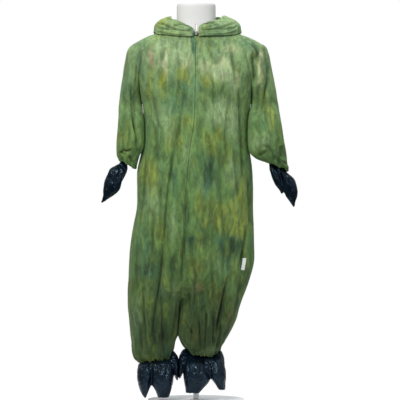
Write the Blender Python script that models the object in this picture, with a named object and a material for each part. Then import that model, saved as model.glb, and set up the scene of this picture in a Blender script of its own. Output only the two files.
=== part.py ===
"""A child's hooded costume jumpsuit on a limbless dress form: plush panels, raglan sleeves,
a folded hood, a front zip, and shiny padded claws at the cuffs and ankles.

Metres, +Z up. The origin is the middle of the underside of the stand's plate. The front of the
garment faces -Y, and +X is to the right of someone who looks at the front.
"""

import math

import bmesh
import bpy
import numpy as np
from mathutils import Vector

MM = 0.001

# Cloth
WALL = 2.2 * MM  # plush with its pile
SEAM_GAP = 0.4 * MM  # between two pieces that are sewn together
SEAT = 0.35 * MM  # between the cloth and what carries it
PANEL_COLUMNS = 14
SLEEVE_COLUMNS = 23
ANKLE_GATHERS = 9  # waves round one ankle
CUFF_GATHERS = 7
GATHER_REACH = 95 * MM  # how far up the leg the ankle's gathers run out
ANKLE_HEM = 118 * MM
ANKLE_TURN = {"left": 0.6, "right": 2.2}  # where the gathers start, in radians
CUFF_TURN = 0.05  # how far the cuff's gathers turn from one row to the next
CUFF_ROWS = 6  # of the sleeve's table, over which the cuff gathers
ANKLE_WAVE = 3.4 * MM
CUFF_WAVE = 2.4 * MM

# Zip
ZIP_GAP = 2.6 * MM  # between the two front edges
ZIP_TAPE = 11 * MM
ZIP_SEAT = 1.2 * MM  # between the tape and the back of the front
ZIP_TAPE_THICK = 0.9 * MM
ZIP_BOTTOM = 390 * MM

# Crotch
CROTCH_TOP = 335 * MM  # the centre seam starts to turn under
CROTCH = 262 * MM  # and has reached the inside leg seam
LEG_CLEARANCE = 1.0 * MM

# Stand
PLATE_RADIUS = 135 * MM
PLATE_THICK = 10 * MM
POLE_RADIUS = 8 * MM

GREEN = (0.13, 0.25, 0.07, 1)
NAVY = (0.012, 0.02, 0.04, 1)
ZIP_GREEN = (0.10, 0.22, 0.08, 1)
METAL = (0.55, 0.55, 0.56, 1)
WHITE_CLOTH = (0.85, 0.86, 0.84, 1)
FORM_WHITE = (0.82, 0.81, 0.80, 1)


def clear_scene():
    for item in list(bpy.data.objects):
        bpy.data.objects.remove(item, do_unlink=True)


def finish(name, colour, roughness, metallic=0.0):
    material = bpy.data.materials.new(name)
    material.use_nodes = True
    shader = material.node_tree.nodes["Principled BSDF"]
    shader.inputs["Base Color"].default_value = colour
    shader.inputs["Roughness"].default_value = roughness
    shader.inputs["Metallic"].default_value = metallic
    return material


def smooth(low, high, value):
    """0 at low and below, 1 at high and above, with no corner between."""
    t = min(max((value - low) / (high - low), 0.0), 1.0)
    return t * t * (3 - 2 * t)


def column(table, columns, name):
    return [row[columns.index(name)] for row in table]


def reader(table, columns, key):
    """A function that gives the named column's value at any height, read between the rows."""
    order = sorted(table, key=lambda row: row[columns.index(key)])
    at = column(order, columns, key)

    def read(name, value):
        return float(np.interp(value, at, column(order, columns, name)))

    return read


def add_mesh(name, points, faces, material):
    mesh = bpy.data.meshes.new(name)
    mesh.from_pydata([tuple(p) for p in points], [], faces)
    mesh.materials.append(material)
    mesh.validate()
    mesh.shade_smooth()
    item = bpy.data.objects.new(name, mesh)
    bpy.context.scene.collection.objects.link(item)
    return item


def normals_of(grid):
    """Unit normals of a grid of points, rows down and columns to the side."""
    down = np.gradient(grid, axis=0)
    side = np.gradient(grid, axis=1)
    normal = np.cross(down, side)
    return normal / np.maximum(np.linalg.norm(normal, axis=2, keepdims=True), 1e-12)


def outward(grid, normal, middle):
    """Turns the normals so that they point away from the middle, a point for each row."""
    away = np.einsum("ijk,ijk->ij", grid - middle[:, None, :], normal).sum()
    return normal if away > 0 else -normal


def cloth_faces(rows, columns):
    """Faces of a wall made of two grids, the outer one first, closed all round its edge."""
    def at(layer, i, j):
        return (layer * rows + i) * columns + j

    faces = []
    for i in range(rows - 1):
        for j in range(columns - 1):
            faces.append((at(0, i, j), at(0, i + 1, j), at(0, i + 1, j + 1), at(0, i, j + 1)))
            faces.append((at(1, i, j), at(1, i, j + 1), at(1, i + 1, j + 1), at(1, i + 1, j)))
    for i in range(rows - 1):
        last = columns - 1
        faces.append((at(0, i, 0), at(1, i, 0), at(1, i + 1, 0), at(0, i + 1, 0)))
        faces.append((at(0, i, last), at(0, i + 1, last), at(1, i + 1, last), at(1, i, last)))
    for j in range(columns - 1):
        last = rows - 1
        faces.append((at(0, 0, j), at(0, 0, j + 1), at(1, 0, j + 1), at(1, 0, j)))
        faces.append((at(0, last, j), at(1, last, j), at(1, last, j + 1), at(0, last, j + 1)))
    return faces


def cloth(name, grid, normal, material, wall=WALL, lift=0.0):
    """A piece of cloth: the grid is its outer side, and its inner side lies one wall inside."""
    outer = grid + lift * normal
    inner = grid + (lift - wall) * normal
    rows, columns = grid.shape[:2]
    points = np.concatenate([outer.reshape(-1, 3), inner.reshape(-1, 3)])
    faces = cloth_faces(rows, columns)
    if (normals_of(grid) * normal).sum() < 0:
        faces = [face[::-1] for face in faces]
    return add_mesh(name, points, faces, material)


# The body's sections from the underarm down, one row each, in mm. Side is the side seam, inner the
# centre front above the crotch and the inside leg below it, hem_up how much higher the inner edge lies.
HALF_COLUMNS = ("z", "side", "inner", "front", "back", "hem_up")
RIGHT_HALF = (
    (801, -147, -4, 109, 99, 0),
    (762, -147, -8, 110, 100, 0),
    (720, -149, -15, 110, 102, 0),
    (678, -158, -20, 110, 104, 0),
    (644, -165, -23, 111, 106, 0),
    (594, -165, -28, 112, 107, 0),
    (543, -166, -32, 113, 108, 0),
    (493, -176, -34, 113, 109, 0),
    (442, -184, -36, 112, 110, 0),
    (392, -188, -37.5, 110, 108, 0),
    (342, -190, -39, 106, 104, 0),
    (316, -192, -40.5, 98, 96, 0),
    (290, -192, -42, 88, 86, 0),
    (262, -191, -43.5, 79, 77, 0),
    (234, -188, -45.5, 75, 73, 0),
    (207, -186, -48, 72, 71, 0),
    (188, -184, -51, 69, 68, 0),
    (170, -181, -59, 65, 64, 0),
    (152, -180, -63, 60, 58, 1),
    (137, -178, -66, 55, 54, 4),
    (124, -170, -69, 48, 47, 8),
    (112, -156, -72, 41, 41, 12),
)
LEFT_HALF = (
    (801, 148.5, -4, 109, 99, 0),
    (762, 147.5, -8, 110, 100, 0),
    (720, 148, -15, 110, 102, 0),
    (678, 154, -20, 110, 104, 0),
    (644, 158, -23, 111, 106, 0),
    (594, 160, -28, 112, 107, 0),
    (543, 160, -32, 113, 108, 0),
    (493, 162, -34, 113, 109, 0),
    (442, 163, -36, 112, 110, 0),
    (392, 162, -37.5, 110, 108, 0),
    (342, 149, -39, 106, 104, 0),
    (316, 140, -40.5, 98, 96, 0),
    (290, 130, -42, 88, 86, 0),
    (262, 121, -43.5, 79, 77, 0),
    (234, 114, -45.5, 75, 73, 0),
    (207, 102, -48, 72, 71, 0),
    (190, 93, -50, 69, 68, 0),
    (174, 83, -45, 65, 64, 0),
    (160, 74, -37, 60, 58, 0),
    (147, 69, -27, 54, 53, 2),
    (137, 67, -20, 47, 46, 5),
    (126, 62, -14, 40, 40, 9),
)

# The chest's sections from the neckline to the underarm, in mm: the height and depth of the centre
# front and centre back, and how far round the section has turned at the raglan seam, in degrees.
CHEST_SWAY = -3 * MM  # of the zip to one side, from the neckline to the underarm
CHEST_COLUMNS = ("front_z", "front", "back_z", "back", "turn")
CHEST = (
    (1020, 74, 1045, 62, 50),
    (1000, 82, 1020, 74, 52),
    (975, 89, 992, 84, 55),
    (950, 95, 965, 90, 58),
    (925, 99, 938, 94, 63),
    (902, 102, 912, 96, 70),
    (880, 105, 886, 97, 78),
    (857, 107, 860, 98, 85),
    (834, 108, 834, 98, 90),
)

# A sleeve's sections from the neckline to the cuff, in mm. Edge is the raglan seam, and below the
# underarm the sleeve's inner side; ridge is its outer side; turn is how far round from the ridge
# the edge lies, in degrees; open parts the seam at the underarm.
SLEEVE_TABLE_COLUMNS = ("edge_x", "edge_z", "ridge_x", "ridge_z", "front", "back", "mid_y", "turn", "open")
RIGHT_SLEEVE = (
    (-98, 1028, -106, 1034, 55, 52, 0, 60, 0),
    (-114, 1021, -132, 1024, 66, 62, 0, 65, 0),
    (-129, 1012, -158, 1012, 74, 68, 0, 70, 0),
    (-140, 997, -182, 998, 78, 71, 0, 78, 0),
    (-148, 972, -193, 982, 78, 71, 0, 90, 0),
    (-154, 942, -200, 950, 74, 68, 0, 105, 0),
    (-158, 907, -205, 913, 67, 62, 0, 125, 0),
    (-157, 868, -210, 879, 56, 52, 0, 150, 2),
    (-151, 834, -215, 840, 46, 45, 0, 180, 8),
    (-151, 809, -217, 812, 42, 44, -14, 180, 3),
    (-150, 784, -218, 780, 39, 45, -28, 180, 0),
    (-149, 759, -220, 748, 37, 46, -37, 180, 0),
    (-150, 734, -222, 720, 37, 45, -39, 180, 0),
    (-152, 711, -223, 703, 37, 41, -36, 180, 0),
    (-161, 689, -222, 692, 37, 32, -27, 180, 0),
    (-166, 669, -218, 684, 30, 26, -24, 180, 0),
    (-169, 652, -214, 675, 22, 20, -22, 180, 0),
)
LEFT_SLEEVE = (
    (101, 1028, 114, 1034, 55, 52, 0, 60, 0),
    (112, 1019, 142, 1023, 66, 62, 0, 65, 0),
    (121, 1003, 170, 1010, 74, 68, 0, 70, 0),
    (132, 983, 194, 996, 78, 71, 0, 78, 0),
    (140, 960, 203, 977, 78, 71, 0, 90, 0),
    (147, 935, 209, 950, 74, 68, 0, 105, 0),
    (152, 904, 216, 913, 67, 62, 0, 125, 0),
    (154, 868, 223, 874, 56, 52, 0, 150, 0),
    (153, 834, 230, 834, 48, 45, 0, 180, 0),
    (151.5, 812, 234, 808, 46, 46, -14, 180, 0),
    (149, 787, 238, 782, 46, 50, -30, 180, 0),
    (148, 762, 242, 755, 46, 52, -38, 180, 0),
    (148, 737, 246, 728, 46, 53, -41, 180, 0),
    (149, 712, 250, 703, 46, 50, -38, 180, 0),
    (154, 695, 253, 684, 44, 43, -32, 180, 0),
    (167, 683, 255, 669, 38, 32, -24, 180, 0),
    (183, 678, 258, 656, 29, 25, -19, 180, 0),
    (200, 673, 258, 645, 20, 18, -15, 180, 0),
)

# The largest folds, in mm: where each starts, turns and ends as seen from the front or the back,
# its depth (a ridge is negative) and its half width. x follows the object, also behind.
FOLD_COLUMNS = ("x0", "z0", "x1", "z1", "x2", "z2", "depth", "width")
FRONT_FOLDS = (
    (-56, 735, -88, 450, -129, 196, 8, 9),
    (-74, 700, -106, 470, -146, 230, -3, 10),
    (-22, 575, -30, 490, -36, 405, 4, 8),
    (141, 500, 134, 440, 123, 385, 6, 8),
    (84, 345, 70, 269, 54, 185, 9, 10),
    (104, 330, 92, 262, 74, 190, -4, 10),
    (25, 280, 27, 210, 22, 140, 5, 8),
    (-38, 236, -24, 212, -8, 186, 4, 8),
    (116, 900, 126, 750, 134, 590, 5, 12),
    (-96, 640, -100, 540, -98, 440, 4, 12),
    (-134, 980, -128, 900, -136, 800, 4, 12),
    (-150, 330, -148, 250, -138, 150, 5, 11),
    (-100, 330, -92, 240, -100, 135, 4, 10),
    (60, 860, 70, 740, 76, 600, 3, 16),
)
BACK_FOLDS = (
    (-60, 800, -74, 560, -112, 260, 7, 12),
    (70, 760, 86, 500, 66, 220, 7, 12),
    (6, 640, -10, 520, -34, 400, 5, 12),
    (-128, 560, -140, 380, -138, 180, 6, 12),
    (122, 540, 128, 430, 96, 260, 6, 12),
    (20, 300, 24, 220, 18, 150, 5, 9),
    (-84, 320, -92, 230, -100, 140, 4, 9),
    (-118, 900, -112, 820, -120, 740, 4, 12),
    (112, 920, 118, 820, 112, 720, 5, 12),
)
RIGHT_SLEEVE_FOLDS = (
    (-180, 955, -184, 880, -182, 800, 4, 8),
    (-178, 800, -166, 758, -158, 712, 8, 8),
    (-200, 860, -204, 790, -200, 730, 3, 9),
    (-208, 706, -192, 698, -172, 700, 5, 6),
)
LEFT_SLEEVE_FOLDS = (
    (166, 975, 160, 930, 158, 880, 10, 13),
    (184, 985, 174, 930, 163, 880, -4, 7),
    (206, 950, 196, 880, 166, 800, 6, 11),
    (216, 860, 212, 790, 226, 730, 5, 10),
    (186, 780, 190, 730, 182, 690, -6, 16),
    (228, 740, 230, 700, 232, 660, 7, 8),
)


FOLD_END = 0.22  # of a fold's length, over which it runs out


def fold_depth(x, z, folds):
    """How far the folds press a point of the front or back inwards."""
    depth = 0.0
    for row in folds:
        x0, z0, x1, z1, x2, z2, deep, width = (value * MM for value in row)
        t = (z0 - z) / (z0 - z2)
        if not 0 < t < 1:
            continue
        turn = (z0 - z1) / (z0 - z2)
        bend = (x1 - x0 - turn * (x2 - x0)) / (turn * (1 - turn))
        line = x0 + t * (x2 - x0) + t * (1 - t) * bend
        ends = smooth(0, FOLD_END, t) * smooth(0, FOLD_END, 1 - t)
        depth += deep * ends * math.exp(-(((x - line) / width) ** 2))
    return depth


def folded(grid, normal, folds):
    """The grid with the folds pressed in along its normals."""
    pressed = grid.copy()
    for i in range(grid.shape[0]):
        for j in range(grid.shape[1]):
            pressed[i, j] -= fold_depth(grid[i, j, 0], grid[i, j, 2], folds) * normal[i, j]
    return pressed


def gather_wave(turn, waves, phase):
    """Uneven gathers: turn runs from 0 to 1 round the opening."""
    even = math.cos(2 * math.pi * waves * turn + phase)
    slow = 0.35 * math.cos(2 * math.pi * 2 * turn + 1.3 * phase)
    beat = 0.35 * math.cos(2 * math.pi * (waves - 3) * turn + 2.1 * phase)
    return even * (1 + slow) + beat


def sleeve_grid(table):
    """Points of a raglan sleeve: rows from the neckline to the cuff, columns from the front seam
    over the outer side to the back seam."""
    rows = []
    for number, row in enumerate(table):
        values = dict(zip(SLEEVE_TABLE_COLUMNS, row))
        turn = math.radians(values["turn"])
        edge = np.array([values["edge_x"], 0, values["edge_z"]]) * MM
        ridge = np.array([values["ridge_x"], 0, values["ridge_z"]]) * MM
        reach = (ridge - edge) / (1 - math.cos(turn))
        middle = ridge - reach
        cuff = smooth(len(table) - CUFF_ROWS, len(table) - 1, number)
        points = []
        for j in range(SLEEVE_COLUMNS):
            t = j / (SLEEVE_COLUMNS - 1)
            angle = turn * (1 - 2 * t)
            depth = values["front"] if angle > 0 else values["back"]
            y = values["mid_y"] * MM - depth * MM * math.sin(angle)
            wave = CUFF_WAVE * cuff * gather_wave(t, CUFF_GATHERS, number * CUFF_TURN)
            away = 1 + wave / (abs(depth) * MM)
            point = middle + reach * math.cos(angle) * away
            points.append((point[0], values["mid_y"] * MM + (y - values["mid_y"] * MM) * away, point[2]))
        rows.append(points)
    return np.array(rows)


def chest_row(centre, edge, turn):
    """Points of a chest section from the centre seam to the raglan seam."""
    points = []
    for j in range(PANEL_COLUMNS):
        s = j / (PANEL_COLUMNS - 1)
        side = math.sin(turn * s) / math.sin(turn)
        forward = (1 - math.cos(turn * s)) / (1 - math.cos(turn))
        x = centre[0] + (edge[0] - centre[0]) * side
        y = centre[1] + (edge[1] - centre[1]) * forward
        z = centre[2] + (edge[2] - centre[2]) * s
        points.append((x, y, z))
    return points


def lower_row(values, depth, back):
    """Points of a section below the underarm, from the centre or inside leg seam to the side."""
    z, side, inner = values["z"] * MM, values["side"] * MM, values["inner"] * MM
    leg = 1 - smooth(CROTCH, CROTCH_TOP, z)
    gathers = 1 - smooth(0, GATHER_REACH, z - ANKLE_HEM)
    points = []
    for j in range(PANEL_COLUMNS):
        s = j / (PANEL_COLUMNS - 1)
        across = (1 - leg) * math.sin(math.pi / 2 * s) + leg * (1 - math.cos(math.pi * s)) / 2
        along = (1 - leg) * math.cos(math.pi / 2 * s) + leg * math.sin(math.pi * s)
        turn = 1 - s / 2 if back else s / 2
        start = ANKLE_TURN["left" if side > 0 else "right"]
        wave = ANKLE_WAVE * gathers * gather_wave(turn, ANKLE_GATHERS, start)
        middle = (inner + side) / 2
        x = inner + (side - inner) * across
        away = 1 + wave / (abs(side - inner) / 2)
        x = middle + (x - middle) * away
        y = (1 if back else -1) * depth * MM * along * away
        up = values["hem_up"] * MM * (1 - across)
        points.append((x, y, z + up))
    return points


def panel_grid(half, sleeve, back):
    """Points of a front or back: rows from the neckline to the ankle, columns from the centre
    seam to the raglan seam and the side seam."""
    side_of = 1 if half[0][HALF_COLUMNS.index("side")] > 0 else -1
    edge_column = -1 if back else 0
    rows = []
    for number, row in enumerate(CHEST):
        values = dict(zip(CHEST_COLUMNS, row))
        part = "back" if back else "front"
        centre = (CHEST_SWAY * number / (len(CHEST) - 1), values[part] * MM * (1 if back else -1),
                  values[f"{part}_z"] * MM)
        rows.append(chest_row(centre, sleeve[number, edge_column], math.radians(values["turn"])))
    for row in half:
        values = dict(zip(HALF_COLUMNS, row))
        rows.append(lower_row(values, values["back" if back else "front"], back))
    return np.array(rows), side_of


def edge_shift(grid, normal, j, inward):
    """A unit vector along the cloth, across the seam at column j, into the piece."""
    along = np.gradient(grid[:, j], axis=0)
    across = np.cross(along, normal[:, j])
    across /= np.maximum(np.linalg.norm(across, axis=1, keepdims=True), 1e-12)
    sign = np.sign(np.einsum("ik,ik->i", across, grid[:, inward] - grid[:, j]))
    return across * np.where(sign == 0, 1, sign)[:, None]


def pull_back(grid, normal, j, inward, distance):
    """Moves an edge column into its own piece by a distance, one for each row or one for all."""
    grid[:, j] += edge_shift(grid, normal, j, inward) * np.broadcast_to(distance, grid.shape[0])[:, None]


def unit(vectors):
    return vectors / np.maximum(np.linalg.norm(vectors, axis=-1, keepdims=True), 1e-12)


def share(one, rows_one, j_one, two, rows_two, j_two):
    """Gives two pieces the same normals along the seam that joins them."""
    mean = unit(one[rows_one, j_one] + two[rows_two, j_two])
    one[rows_one, j_one] = mean
    two[rows_two, j_two] = mean


INSIDE = 20 * MM  # points this far in, or below the shoulder, lie inside the cloth
BELOW_SHOULDER = 60 * MM


def garment_grids():
    """The points and normals of the four panels and the two sleeves, folds and seam gaps included."""
    sleeves = {"right": sleeve_grid(RIGHT_SLEEVE), "left": sleeve_grid(LEFT_SLEEVE)}
    tables = {"right": RIGHT_SLEEVE, "left": LEFT_SLEEVE}
    halves = {"right": RIGHT_HALF, "left": LEFT_HALF}
    grids, normals = {}, {}
    cap = len(CHEST)
    for side, sleeve in sleeves.items():
        middle = sleeve.mean(axis=1)
        middle[:cap - 2] = sleeve[:cap - 2, [0, -1]].mean(axis=1) - (0, 0, BELOW_SHOULDER)
        normals[f"sleeve_{side}"] = outward(sleeve, normals_of(sleeve), middle)
        grids[f"sleeve_{side}"] = sleeve
        for back in (False, True):
            name = ("back_" if back else "front_") + side
            grid, side_of = panel_grid(halves[side], sleeve, back)
            centre = grid.mean(axis=1) * (1, 0, 1) - (side_of * INSIDE, 0, 0)
            grids[name], normals[name] = grid, outward(grid, normals_of(grid), centre)
    folds = {"front_right": FRONT_FOLDS, "front_left": FRONT_FOLDS, "back_right": BACK_FOLDS,
             "back_left": BACK_FOLDS, "sleeve_right": RIGHT_SLEEVE_FOLDS, "sleeve_left": LEFT_SLEEVE_FOLDS}
    for name, grid in grids.items():
        pressed = folded(grid, normals[name], folds[name])
        if name.startswith("sleeve"):
            front = (SLEEVE_COLUMNS + 1) // 2
            pressed[:, front:] = grid[:, front:]
        grids[name] = pressed
        turned = normals_of(pressed)
        facing = np.sign(np.einsum("ijk,ijk->ij", turned, normals[name]).sum())
        normals[name] = turned * facing
    first, last = slice(0, cap), slice(cap - 1, None)
    for side in sleeves:
        sleeve, front, back = (normals[f"{piece}_{side}"] for piece in ("sleeve", "front", "back"))
        share(front, first, -1, sleeve, first, 0)
        share(back, first, -1, sleeve, first, -1)
        share(front, last, -1, back, last, -1)
        share(sleeve, last, 0, sleeve.copy(), last, -1)
        sleeve[last, -1] = sleeve[last, 0]
    low = [i for i, row in enumerate(grids["front_right"][:, 0, 2]) if row < CROTCH + MM]
    legs = slice(low[0], None)
    for side in sleeves:
        share(normals[f"front_{side}"], legs, 0, normals[f"back_{side}"], legs, 0)
    high = slice(0, low[0] - 3)
    share(normals["front_right"], high, 0, normals["front_left"], high, 0)
    share(normals["back_right"], high, 0, normals["back_left"], high, 0)
    for side, table in tables.items():
        part = [row[-1] * MM for row in table]
        gaps = np.array(part) + SEAM_GAP / 2
        sleeve = f"sleeve_{side}"
        for j, inward in ((0, 1), (-1, -2)):
            pull_back(grids[sleeve], normals[sleeve], j, inward, gaps)
        rows = grids[f"front_{side}"].shape[0]
        panel_gaps = np.full(rows, SEAM_GAP / 2)
        panel_gaps[:cap + 1] += part[:cap + 1]
        for back in (False, True):
            name = ("back_" if back else "front_") + side
            heights = grids[name][:, 0, 2]
            leg = np.array([1 - smooth(CROTCH, CROTCH_TOP, z) for z in heights])
            pull_back(grids[name], normals[name], -1, -2, panel_gaps)
            pull_back(grids[name], normals[name], 0, 1, SEAM_GAP / 2)
            inner = SEAM_GAP if back else ZIP_GAP / 2
            side_of = 1 if side == "left" else -1
            clear = np.where(heights > ZIP_BOTTOM, inner * (1 - leg), 0) + LEG_CLEARANCE * leg
            toward_side = 1 - np.arange(PANEL_COLUMNS) / (PANEL_COLUMNS - 1)
            grids[name][:, :, 0] += side_of * clear[:, None] * toward_side
    return grids, normals


# The folded hood's section, from the centre front (0) round the neck to the centre back (1), in mm:
# how far it leans in to the neck, its rise, how far it rolls out, and how far the roll hangs.
HOOD_COLUMNS = ("round", "lean", "rise", "reach", "drop")
HOOD = (
    (0.00, 5, 22, 6, 4),
    (0.10, 14, 32, 9, 6),
    (0.25, 32, 40, 12, 7),
    (0.45, 40, 43, 11, 5),
    (0.60, 36, 43, 15, 3),
    (0.74, 27, 42, 34, 22),
    (0.87, 12, 38, 49, 92),
    (1.00, 7, 36, 55, 150),
)
HOOD_SIZE = {"right": 1.0, "left": 1.1}
# The roll's own line, from the neckline up inside, over the top and down outside to its edge. Each
# row gives shares of the lean, the reach, the rise and the drop.
HOOD_PROFILE = (
    (-0.10, 0, 0.00, 0), (-0.45, 0, 0.50, 0), (-0.88, 0, 0.82, 0), (-0.90, 0, 1.00, 0),
    (-0.56, 0.04, 0.93, 0), (-0.14, 0.30, 0.70, 0), (0, 0.70, 0.44, 0), (0, 0.94, 0.22, -0.35),
    (0, 1.00, 0.10, -0.75), (0, 0.92, 0.07, -1.00), (0, 0.76, 0.15, -0.92), (0, 0.70, 0.25, -0.70),
)
HOOD_AROUND = 19
HOOD_LIFT = 1.0 * MM  # of the hood's seam over the neckline
HOOD_END = 7.0 * MM  # of each half from the centre front, where the zip ends

# Padded pieces, in mm: height, left and right side as seen from the front, front and back depth,
# and how much the section rises for each mm to the right.
PAD_COLUMNS = ("z", "left", "right", "front", "back", "tilt")
PADS = {
    "hand_claw_right_front": (
        (670, -206, -195, -32, -26, -0.48), (661, -212, -193, -36, -25, -0.48),
        (650, -234, -195, -52, -26, -0.3), (636, -246, -204, -55, -27, -0.1),
        (614, -255, -208, -56, -27.4, 0),
        (592, -258, -215, -53, -30, 0), (579, -256, -231, -49, -33, 0), (567, -260, -249, -45, -36, 0),
        (558, -266, -261, -43, -39, 0)),
    "hand_claw_right_back": (
        (673, -209, -193, -24, -12, -0.48), (660, -213, -191, -24.6, -10, -0.48),
        (648, -230, -195, -25.6, -4, -0.3), (630, -243, -203, -26.6, -4, -0.1), (610, -252, -212, -27, -6, 0),
        (597, -256, -232, -24, -10, 0), (588, -258, -252, -20, -14, 0)),
    "hand_claw_left_front": (
        (675, 210, 221, -20, -14, -0.48), (664, 205, 222, -27, -14, -0.48), (650, 206, 228, -38, -12, -0.3),
        (626, 214, 237, -42, -12, 0), (606, 224, 242, -38, -14, 0), (594, 233, 243, -33, -18, 0),
        (583, 238, 241, -29, -23, 0)),
    "hand_claw_left_back": (
        (668, 223, 246, -28, -13, -0.48), (654, 223, 248, -28, -13, -0.48), (640, 229, 262, -42, -8, -0.3),
        (626, 238, 272, -46, -6, 0), (606, 243, 279, -44, -7, 0), (594, 244.5, 282, -42, -9, 0),
        (576, 252, 281, -38, -13, 0), (562, 262, 275, -32, -19, 0), (546, 271, 275, -28, -24, 0)),
    "foot_claw_right_outer": (
        (121, -146, -130, -20, -6, 0.12), (113.7, -148, -128.5, -27, -8, 0.12),
        (112.1, -159, -128.2, -56, -8, 0.12),
        (96, -162, -124.8, -63, -8, 0), (80, -163, -122, -67, -10, 0), (56, -161, -123, -67, -14, 0),
        (43, -157, -129, -63, -20, 0), (26, -150, -137, -56, -30, 0), (15, -143, -139, -48, -40, 0)),
    "foot_claw_right_middle": (
        (127, -122, -92, -20, -6, 0.14), (118.4, -125, -86, -26, -8, 0.16),
        (116.9, -126.6, -74, -60, -12, 0.16),
        (99, -124.8, -64.5, -76, -14, 0.05), (80, -122.9, -62.5, -82, -16, 0), (56, -123.5, -65, -82, -22, 0),
        (39, -114, -70, -78, -30, 0), (22, -105, -76, -70, -42, 0), (17, -103, -78, -68, -45, 0)),
    "foot_claw_right_inner": (
        (138, -67.3, -57, -24, 4, 0), (122.5, -72, -51, -44, 8, 0), (104, -63.5, -49.4, -48, 10, 0),
        (84, -62, -49.6, -46, 8, 0), (71, -58, -49.6, -38, 2, 0), (62, -54, -50, -28, -14, 0)),
    "foot_claw_left_inner": (
        (146, -37, -30, -18, 2, 0), (131, -46, -20, -40, 6, 0), (112, -48, -29, -52, 8, 0),
        (96, -49, -36, -50, 8, 0), (80, -49, -38, -42, 2, 0), (68, -48, -44, -28, -14, 0)),
    "foot_claw_left_middle": (
        (136, -6, 13, -20, -9.5, -0.08), (125, -9, 15, -26, -9.5, -0.08), (121, -20, 17, -58, -10, -0.05),
        (112, -30, 20, -74, -12, 0), (90, -35, 31, -82, -16, 0), (70, -33, 41, -82, -22, 0),
        (50, -30, 26, -79, -30, 0), (40, -28, 17, -75, -36, 0), (30, -27, 9, -70, -44, 0)),
    "foot_claw_left_outer": (
        (133, 20, 44, -18, -9.5, -0.1), (125.8, 18.5, 50, -25, -9.5, -0.1), (124.2, 19, 72, -56, -6, -0.1),
        (100, 26, 79, -70, -6, 0), (85, 33.4, 81, -74, -10, 0), (70, 42, 81, -73, -16, 0),
        (55, 54, 80, -68, -26, 0), (43, 62, 80, -62, -34, 0), (38, 66, 79, -58, -38, 0)),
}
PAD_SIDES = 12

# The dress form, in mm: half width and depths at each height; its shoulders carry the sleeves.
FORM_COLUMNS = ("z", "left", "right", "front", "back", "tilt")
FORM = (
    (1114, -52, 53, -50, 46, 0), (1108, -54, 55, -53, 49, 0), (1070, -54, 55, -52, 48, 0),
    (1052, -57, 58, -53, 49, 0), (1036, -76, 80, -56, 50, 0), (1023.8, -120, 126, -60, 52, 0),
    (1009.8, -156, 161.2, -62, 54, 0), (995.8, -178, 185.4, -62, 54, 0), (979.8, -188, 198.4, -60, 54, 0),
    (960, -188, 196, -66, 58, 0), (930, -150, 150, -76, 68, 0), (880, -128, 128, -86, 76, 0),
    (820, -120, 120, -88, 76, 0), (740, -104, 104, -76, 68, 0), (650, -108, 108, -78, 76, 0),
    (560, -120, 120, -80, 86, 0), (500, -116, 116, -74, 80, 0), (470, -100, 100, -60, 66, 0),
)
FORM_SIDES = 28

SLIDER = (
    (1022, -2.4, 2.4, -76.0, -71.9, 0), (1027, -4.2, 4.2, -77.0, -72.2, 0),
    (1036, -4.6, 4.6, -77.2, -73.0, 0), (1038, -3.8, 3.8, -76.8, -73.3, 0),
)
TAB_HINGE = (0.0 * MM, -79.2 * MM, 1032.5 * MM)
TAB_WIDTH, TAB_LONG, TAB_THICK = 5.0 * MM, 22 * MM, 1.3 * MM
TAB_LEAN = math.radians(12)  # back against the zip's end
LUG_WIDTH, LUG_REACH, LUG_TALL = 1.0 * MM, 3.4 * MM, 3.4 * MM
LUG_ROOT = -76.2 * MM  # inside the slider's face

LABEL_TOP = (136 * MM, 406 * MM)
LABEL_BOTTOM = (130 * MM, 370 * MM)
LABEL_WIDTH = 11 * MM


def section_loft(name, rows, sides, material, square=1.0):
    """A closed body through flat sections, with a flat end at the top and the bottom."""
    points = []
    for row in rows:
        z, left, right, front, back, tilt = (value for value in row)
        middle, half = (left + right) / 2, (right - left) / 2
        for k in range(sides):
            angle = 2 * math.pi * k / sides
            c, s = math.cos(angle), math.sin(angle)
            across = math.copysign(abs(c) ** square, c) * half
            depth = math.copysign(abs(s) ** square, s) * (back - front) / 2 + (front + back) / 2
            points.append(((middle + across) * MM, depth * MM, (z + tilt * across) * MM))
    faces = [tuple(range(sides))]
    for i in range(len(rows) - 1):
        for k in range(sides):
            here, after = i * sides + k, i * sides + (k + 1) % sides
            faces.append((here, here + sides, after + sides, after))
    faces.append(tuple(reversed(range((len(rows) - 1) * sides, len(rows) * sides))))
    return add_mesh(name, points, faces, material)


def along_line(points, share_of):
    """The point at a share of a line's length."""
    steps = np.concatenate([[0], np.cumsum(np.linalg.norm(np.diff(points, axis=0), axis=1))])
    return np.array([np.interp(share_of * steps[-1], steps, points[:, k]) for k in range(3)])


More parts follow.
